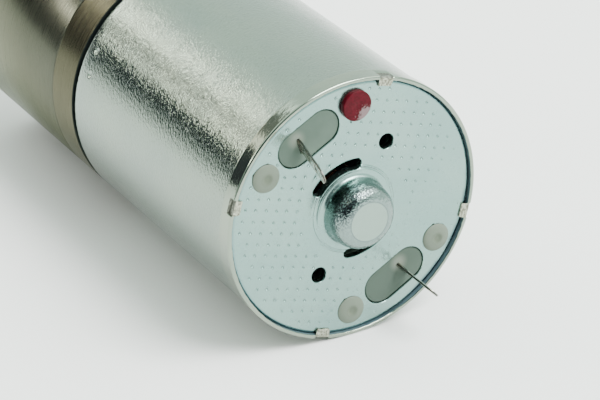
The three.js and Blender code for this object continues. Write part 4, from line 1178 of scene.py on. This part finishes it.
def make_terminal(side):
    """A blade with softened edges, a round end and a hole, leaning from just above the plate."""
    lean = BLADE_BENDS[side][1]
    half = BLADE_WIDTH / 2
    root = -(BLADE_INNER_Y - PLATE_REAR_Y)
    tip = BLADE_HEIGHT - half
    rows = 60
    outline = arc(half, 0, 180, 24, (0, tip))
    outline += [(-half, tip + (root - tip) * i / rows) for i in range(1, rows + 1)]
    outline += [(half, root + (tip - root) * i / rows) for i in range(rows)]
    hole = circle_loop(BLADE_HOLE_RADIUS, 40, (0, BLADE_HOLE_HEIGHT))

    def edge(point):
        u, h = point
        if h > tip:
            outer = half - math.hypot(u, h - tip)
        else:
            outer = min(half - abs(u), h - root)
        return min(outer, math.hypot(u, h - BLADE_HOLE_HEIGHT) - BLADE_HOLE_RADIUS)

    points = []
    for offset in (0.01, 0.035, 0.07, 0.1):
        points += circle_loop(BLADE_HOLE_RADIUS + offset, 40, (0, BLADE_HOLE_HEIGHT))
        inset = half - offset
        points += [(u, root + (tip - root) * i / rows) for i in range(rows) for u in (-inset, inset)]
        points += arc(half - offset, 0, 180, 24, (0, tip))
    points += [(u * 0.3, root + (tip - root) * i / rows) for i in range(rows + 4) for u in (-2, -1, 0, 1, 2)]
    points = [p for p in points if edge(p) > 0.006]
    soft = 0.09

    def surface(point):
        return BLADE_THICKNESS / 2 - drop_at_edge(edge(point), soft)

    part = sheet([outline, hole], points, lambda p: edge(p) > 0, lambda p: -surface(p), surface)
    (x0, z0), across, through, away = blade_frame(side)

    def bent(u, t, h):
        push = lean * max(0.0, h - BEND_START) / (BLADE_HEIGHT - BEND_START)
        x = x0 + u * across[0] + t * through[0] + push * away[0]
        z = z0 + u * across[1] + t * through[1] + push * away[1]
        return (x, PLATE_REAR_Y - h, z)

    def sheared(centre):
        """Picks the second material for the cut edges of the strip."""
        dx, dz = centre.x - x0, centre.z - z0
        push = lean * max(0.0, PLATE_REAR_Y - centre.y - BEND_START) / (BLADE_HEIGHT - BEND_START)
        dx, dz = dx - push * away[0], dz - push * away[1]
        return 1 if abs(dx * through[0] + dz * through[1]) < BLADE_THICKNESS / 2 - 0.05 else 0

    blade = placed(part, bent)
    piece = build(f"terminal_blade_{side + 1}", blade, [TIN, TIN_EDGE], sharp=40, pick=sheared)
    settle(piece, "root", "terminal", f"terminal_{side + 1}")


# ---- gearbox: flange, ring gear, front cover, screws, shaft and clip ----


# Picks the dark seam finish, which is painted shade, for the flange's rear face.
def rear_face(centre):
    return 1 if centre.y < FLANGE_REAR_Y + 0.06 and math.hypot(centre.x, centre.z) > 8 else 0


def make_flange():
    front_y = RING_REAR_Y - GAP / 2
    bore = BOSS_RADIUS + GAP
    step_y = FLANGE_REAR_Y + BOSS_LENGTH + 0.4
    profile = rounded(
        [
            (bore, FLANGE_REAR_Y, 0.2),
            (BODY_RADIUS, FLANGE_REAR_Y, 0.12),
            (BODY_RADIUS, front_y, 0.12),
            (bore - 0.6, front_y, 0.2),
            (bore - 0.6, step_y, 0.1),
            (bore, step_y, 0.1),
        ]
    )
    piece = build("motor_flange_disc", lathe(profile, 256), [FLANGE, SEAM_SHADE], pick=rear_face)
    start_y, seat_y, end_y = FLANGE_REAR_Y - CUT_PAST, front_y - MOTOR_HEAD_DEPTH, front_y + CUT_PAST
    stepped = [(0, start_y), (MOTOR_SCREW_HOLE, start_y), (MOTOR_SCREW_HOLE, seat_y)]
    stepped += [(MOTOR_HEAD_HOLE, seat_y), (MOTOR_HEAD_HOLE, end_y), (0, end_y)]
    tools = []
    for angle in MOTOR_SCREW_ANGLES:
        tools.append(lathe(stepped, 48, centre=polar(MOTOR_SCREW_CIRCLE, angle)))
    for angle in SCREW_ANGLES:
        centre = polar(SCREW_CIRCLE, angle)
        tools.append(drill(COVER_SCREW_HOLE, COVER_SCREW_TIP_Y - GAP, end_y, centre, count=32))
    cut(piece, tools)
    settle(piece, "root", "flange", "motor_flange")


def ring_tooth_spaces():
    """The outline of the involute teeth inside the ring gear."""
    alpha = math.radians(PRESSURE_ANGLE)
    pitch = MODULE * RING_TEETH / 2
    base = pitch * math.cos(alpha)
    half_at_pitch = math.pi / (2 * RING_TEETH) + TOOTH_THINNING / pitch
    low, high = pitch - MODULE, pitch + 1.25 * MODULE

    def half_at(radius):
        pressure = math.acos(min(1.0, base / radius))
        return half_at_pitch + (math.tan(alpha) - alpha) - (math.tan(pressure) - pressure)

    flank = [low + (high - low) * i / 6 for i in range(7)]
    points = []
    for tooth in range(RING_TEETH):
        middle = 2 * math.pi * tooth / RING_TEETH + math.radians(90)
        for radius in flank:
            points.append((radius, middle - half_at(radius)))
        for radius in reversed(flank):
            points.append((radius, middle + half_at(radius)))
    return [(radius * math.cos(angle), radius * math.sin(angle)) for radius, angle in points]


def inside_loop(point, loop):
    x, z = point
    found = False
    for i, (x1, z1) in enumerate(loop):
        x0, z0 = loop[i - 1]
        if (z0 > z) != (z1 > z) and x < x0 + (x1 - x0) * (z - z0) / (z1 - z0):
            found = not found
    return found


def make_ring_gear():
    rear_y, front_y = RING_REAR_Y + GAP / 2, COVER_REAR_Y - GAP / 2
    spaces = ring_tooth_spaces()
    holes = [polar(SCREW_CIRCLE, angle) for angle in SCREW_ANGLES]
    loops = [circle_loop(BODY_RADIUS, 256), spaces]
    loops += [circle_loop(COVER_SCREW_HOLE, 32, hole) for hole in holes]
    edge_radius = 0.2
    points = [p for inset in (0.04, 0.12, edge_radius) for p in circle_loop(BODY_RADIUS - inset, 256)]

    def inside(point):
        if math.hypot(*point) > BODY_RADIUS or inside_loop(point, spaces):
            return False
        return all(math.dist(point, hole) > COVER_SCREW_HOLE - 0.02 for hole in holes)

    def drop(point):
        return drop_at_edge(BODY_RADIUS - math.hypot(*point), edge_radius)

    part = sheet(loops, points, inside, lambda p: rear_y + drop(p), lambda p: front_y - drop(p))
    piece = build("ring_gear_body", part, [HOUSING])
    settle(piece, "root", "housing", "ring_gear")


def make_front_cover():
    profile = rounded(
        [
            (REAR_BUSH_BORE, SPIGOT_REAR_Y, 0.15),
            (SPIGOT_RADIUS, SPIGOT_REAR_Y, 0.2),
            (SPIGOT_RADIUS, COVER_REAR_Y, 0.05),
            (BODY_RADIUS, COVER_REAR_Y, 0.15),
            (BODY_RADIUS, 0, 0.5),
            (PILOT_RADIUS, 0, 0.08),
            (PILOT_RADIUS, PILOT_LENGTH, 0.3),
            (FRONT_BUSH_BORE, PILOT_LENGTH, 0.2),
            (FRONT_BUSH_BORE, FRONT_BUSH_SEAT_Y, 0.05),
            (COVER_LIP, FRONT_BUSH_SEAT_Y, 0.05),
            (COVER_LIP, REAR_BUSH_SEAT_Y, 0.05),
            (REAR_BUSH_BORE, REAR_BUSH_SEAT_Y, 0.05),
        ],
        steps=6,
    )
    piece = build("front_cover_turning", lathe(profile, 256), [HOUSING])
    tools = []
    for angle in MOUNT_HOLE_ANGLES:
        centre = polar(MOUNT_HOLE_CIRCLE, angle)
        tools.append(drill(MOUNT_HOLE_RADIUS, MOUNT_HOLE_BOTTOM_Y, CUT_PAST, centre, mouth_y=0.0))
    start_y, seat_y = SPIGOT_REAR_Y - CUT_PAST, COVER_HEAD_SEAT_Y - GAP
    chamfer = 0.1
    head = COVER_SCREW_HEAD + GAP
    mouth = head + 2 * chamfer
    for angle in SCREW_ANGLES:
        stepped = [(0, start_y), (COVER_SCREW_HOLE, start_y), (COVER_SCREW_HOLE, seat_y), (head, seat_y)]
        stepped += [(head, -chamfer), (mouth, chamfer), (mouth, CUT_PAST), (0, CUT_PAST)]
        tools.append(lathe(stepped, 48, centre=polar(SCREW_CIRCLE, angle)))
    cut(piece, tools)
    settle(piece, "root", "housing", "front_cover")


def make_cover_screws():
    profile = rounded(
        [
            (0, COVER_SCREW_TIP_Y, 0),
            (COVER_SCREW_SHANK, COVER_SCREW_TIP_Y, 0.3),
            (COVER_SCREW_SHANK, COVER_HEAD_SEAT_Y, 0.05),
            (COVER_SCREW_HEAD, COVER_HEAD_SEAT_Y, 0.08),
            (COVER_SCREW_HEAD, COVER_SCREW_TOP_Y, 0.3),
            (0, COVER_SCREW_TOP_Y, 0),
        ]
    )
    reach = COVER_SCREW_HEAD + 1.2  # half the slot cutter's length
    for index, angle in enumerate(SCREW_ANGLES):
        x, z = polar(SCREW_CIRCLE, angle)
        part = lathe(profile, 48, centre=(x, z))
        piece = build(f"cover_screw_fine_{index + 1}", part, [BLACK])
        low = (x - reach, SCREW_SLOT_BOTTOM_Y, z - SCREW_SLOT_HALF)
        cut(piece, [block(low, (x + reach, CUT_PAST, z + SCREW_SLOT_HALF))])
        settle(piece, "root", "screw", f"cover_screw_{index + 1}")


def make_shaft():
    profile = rounded(
        [
            (0, SHAFT_REAR_Y, 0),
            (SHAFT_RADIUS, SHAFT_REAR_Y, 0.1),
            (SHAFT_RADIUS, GROOVE_REAR_Y, 0.04),
            (GROOVE_RADIUS, GROOVE_REAR_Y, 0.03),
            (GROOVE_RADIUS, GROOVE_FRONT_Y, 0.03),
            (SHAFT_RADIUS, GROOVE_FRONT_Y, 0.04),
            (SHAFT_RADIUS, SHAFT_END_Y - SHAFT_CHAMFER, 0.05),
            (SHAFT_RADIUS - SHAFT_CHAMFER, SHAFT_END_Y, 0.05),
            (0, SHAFT_END_Y, 0),
        ],
        steps=4,
    )
    piece = build("output_shaft_ground", lathe(profile, 160), [SHAFT])
    side, top = SHAFT_RADIUS + 2 * CUT_PAST, SHAFT_RADIUS + 3 * CUT_PAST
    cut(piece, [block((-side, FLAT_START_Y, FLAT_HEIGHT), (side, SHAFT_END_Y + CUT_PAST, top))])
    settle(piece, "output", "steel", "output_shaft")


def make_front_bush():
    profile = rounded(
        [
            (BUSH_INNER, BUSH_REAR_Y, 0.2),
            (BUSH_OUTER, BUSH_REAR_Y, 0.2),
            (BUSH_OUTER, BUSH_FRONT_Y, 0.25),
            (BUSH_INNER, BUSH_FRONT_Y, 0.35),
        ]
    )
    piece = build("output_bush_front_sleeve", lathe(profile, 128), [BRONZE])
    settle(piece, "root", "bush", "output_bush_front")


def make_circlip():
    """An open ring with rounded lugs and softened edges."""
    inner, outer, mouth = CIRCLIP_INNER, CIRCLIP_OUTER, CIRCLIP_MOUTH
    middle, half = (inner + outer) / 2, (outer - inner) / 2
    start, end = 90 + mouth, 450 - mouth
    loop = arc(outer, start, end, 72)
    loop += arc(half, 90 - mouth, 270 - mouth, 10, polar(middle, 90 - mouth))[1:-1]
    loop += arc(inner, end, start, 72)
    loop += arc(half, 270 + mouth, 450 + mouth, 10, polar(middle, 90 + mouth))[1:-1]

    def edge(point):
        angle = math.degrees(math.atan2(point[1], point[0])) % 360
        off = abs((angle - 90 + 180) % 360 - 180)
        if off >= mouth:
            return half - abs(math.hypot(*point) - middle)
        return half - min(math.dist(point, polar(middle, 90 + side * mouth)) for side in (-1, 1))

    points = []
    for radius in (inner + 0.02, inner + 0.07, inner + 0.15, outer - 0.15, outer - 0.07, outer - 0.02):
        points += arc(radius, start, end, 90)
    points = [p for p in points if edge(p) > 0.01]

    def drop(point):
        return drop_at_edge(edge(point), 0.15)

    def rear(point):
        return CIRCLIP_REAR_Y + drop(point)

    part = sheet([loop], points, lambda p: edge(p) > 0, rear, lambda p: CIRCLIP_FRONT_Y - drop(p))
    piece = build("circlip_ring", part, [BLACK], sharp=50)
    settle(piece, "output", "screw", "circlip")


# ---- floor, light and camera ----


def make_floor():
    size, height = FLOOR_HALF * MM, -FLOOR_DEPTH * MM
    corners = [(-size, -size), (size, -size), (size, size), (-size, size)]
    mesh = bpy.data.meshes.new("floor")
    mesh.from_pydata([(x, y, height) for x, y in corners], [], [(0, 1, 2, 3)])
    mesh.materials.append(floor_finish())
    floor = bpy.data.objects.new("floor", mesh)
    bpy.context.scene.collection.objects.link(floor)


PANEL_STRENGTH = 4.0
DARK_PANEL = (0.026, 0.03, 0.033)
BRIGHT_PANEL = (0.85, 0.82, 0.71)
FLARE = (9.0, 8.7, 7.6)  # of the bright panel away from its middle
GREY_PANEL = (0.105, 0.112, 0.102)
PALE_PANEL = (0.46, 0.54, 0.495)
HIGH_PANEL = (1.0, 1.1, 1.02)
SHADE_PANEL = (0.1, 0.125, 0.125)
SOFTBOX = (1.3, 1.35, 1.3)
DARK_CENTRE = (-0.66, -0.64, 0.39)  # the unlit side of the room, towards the camera


def make_world():
    """A pale room for the metal to reflect.

    Behind the object to the left it has a dark, a bright, a grey and a high panel one above the
    other, and the bright one flares on both sides of its middle. In front to the left is a dark
    patch, and to the right a bright softbox."""
    world = bpy.data.worlds.new("studio")
    world.use_nodes = True
    tree = world.node_tree
    made = Nodes(tree)
    toward = made.node("ShaderNodeTexCoord").outputs["Generated"]
    x, y, z = made.node("ShaderNodeSeparateXYZ", {0: toward}).outputs
    panels = tree.nodes.new("ShaderNodeValToRGB")
    stops = [
        (0.0, DARK_PANEL),
        (20.6, DARK_PANEL),
        (22.4, BRIGHT_PANEL),
        (25.8, BRIGHT_PANEL),
        (27.0, GREY_PANEL),
        (36.4, GREY_PANEL),
        (37.6, HIGH_PANEL),
        (41.0, HIGH_PANEL),
        (46.0, PALE_PANEL),
        (90.0, PALE_PANEL),
    ]
    elements = panels.color_ramp.elements
    while len(elements) > 1:
        elements.remove(elements[-1])
    elements[0].position, elements[0].color = 0.0, (*stops[0][1], 1)
    for elevation, colour in stops[1:]:
        elements.new(math.sin(math.radians(elevation))).color = (*colour, 1)
    tree.links.new(z, panels.inputs[0])
    behind_left = made.times(made.remap(x, -0.02, -0.14), made.remap(y, 0.3, 0.5))
    aside = made.vector("DOT_PRODUCT", toward, (-0.866, -0.5, 0.0)).outputs["Value"]
    off_middle = made.node("ShaderNodeMath", {0: aside}, operation="ABSOLUTE").outputs[0]
    flaring = made.times(made.remap(z, 0.36, 0.4), made.remap(z, 0.445, 0.405))
    flaring = made.times(made.remap(off_middle, 0.08, 0.16), flaring)
    rows = made.mixed(flaring, panels.outputs[0], FLARE)
    colour = made.mixed(behind_left, PALE_PANEL, rows)
    away = made.vector("DISTANCE", toward, DARK_CENTRE).outputs["Value"]
    colour = made.mixed(made.remap(away, 0.95, 0.6), colour, SHADE_PANEL)
    colour = made.mixed(made.remap(away, 0.6, 0.38), colour, DARK_PANEL)
    box = made.times(made.remap(x, 0.0, 0.12), made.remap(y, 0.3, 0.2))
    box = made.times(box, made.times(made.remap(z, 0.5, 0.58), made.remap(z, 0.86, 0.78)))
    colour = made.mixed(box, colour, SOFTBOX)
    background = tree.nodes["Background"]
    background.inputs["Strength"].default_value = PANEL_STRENGTH
    tree.links.new(colour, background.inputs["Color"])
    bpy.context.scene.world = world


def make_key_light():
    light = bpy.data.lights.new("key", "AREA")
    light.shape = "RECTANGLE"
    light.size, light.size_y = KEY_SIZE
    light.energy = KEY_POWER
    light.color = KEY_COLOUR
    obj = bpy.data.objects.new("key", light)
    bpy.context.scene.collection.objects.link(obj)
    obj.location = KEY_PLACE
    obj.rotation_euler = (Vector(KEY_AIM) - Vector(KEY_PLACE)).to_track_quat("-Z", "Y").to_euler()


def make_camera():
    camera = bpy.data.cameras.new("camera")
    camera.lens = 180
    camera.sensor_width = 36
    camera.clip_start = 0.01
    obj = bpy.data.objects.new("camera", camera)
    bpy.context.scene.collection.objects.link(obj)
    right, up = Vector(CAMERA_RIGHT), Vector(CAMERA_UP)
    turn = Matrix((right, up, right.cross(up))).transposed().to_4x4()
    obj.matrix_world = Matrix.Translation(Vector(CAMERA_PLACE) * MM) @ turn
    bpy.context.scene.camera = obj


def main():
    finish_cad_nodes()
    make_can()
    make_end_plate()
    make_brush_card()
    make_terminal(0)
    make_terminal(1)
    make_flange()
    make_ring_gear()
    make_front_cover()
    make_cover_screws()
    make_shaft()
    make_front_bush()
    make_circlip()
    make_floor()
    make_world()
    make_key_light()
    make_camera()


main()
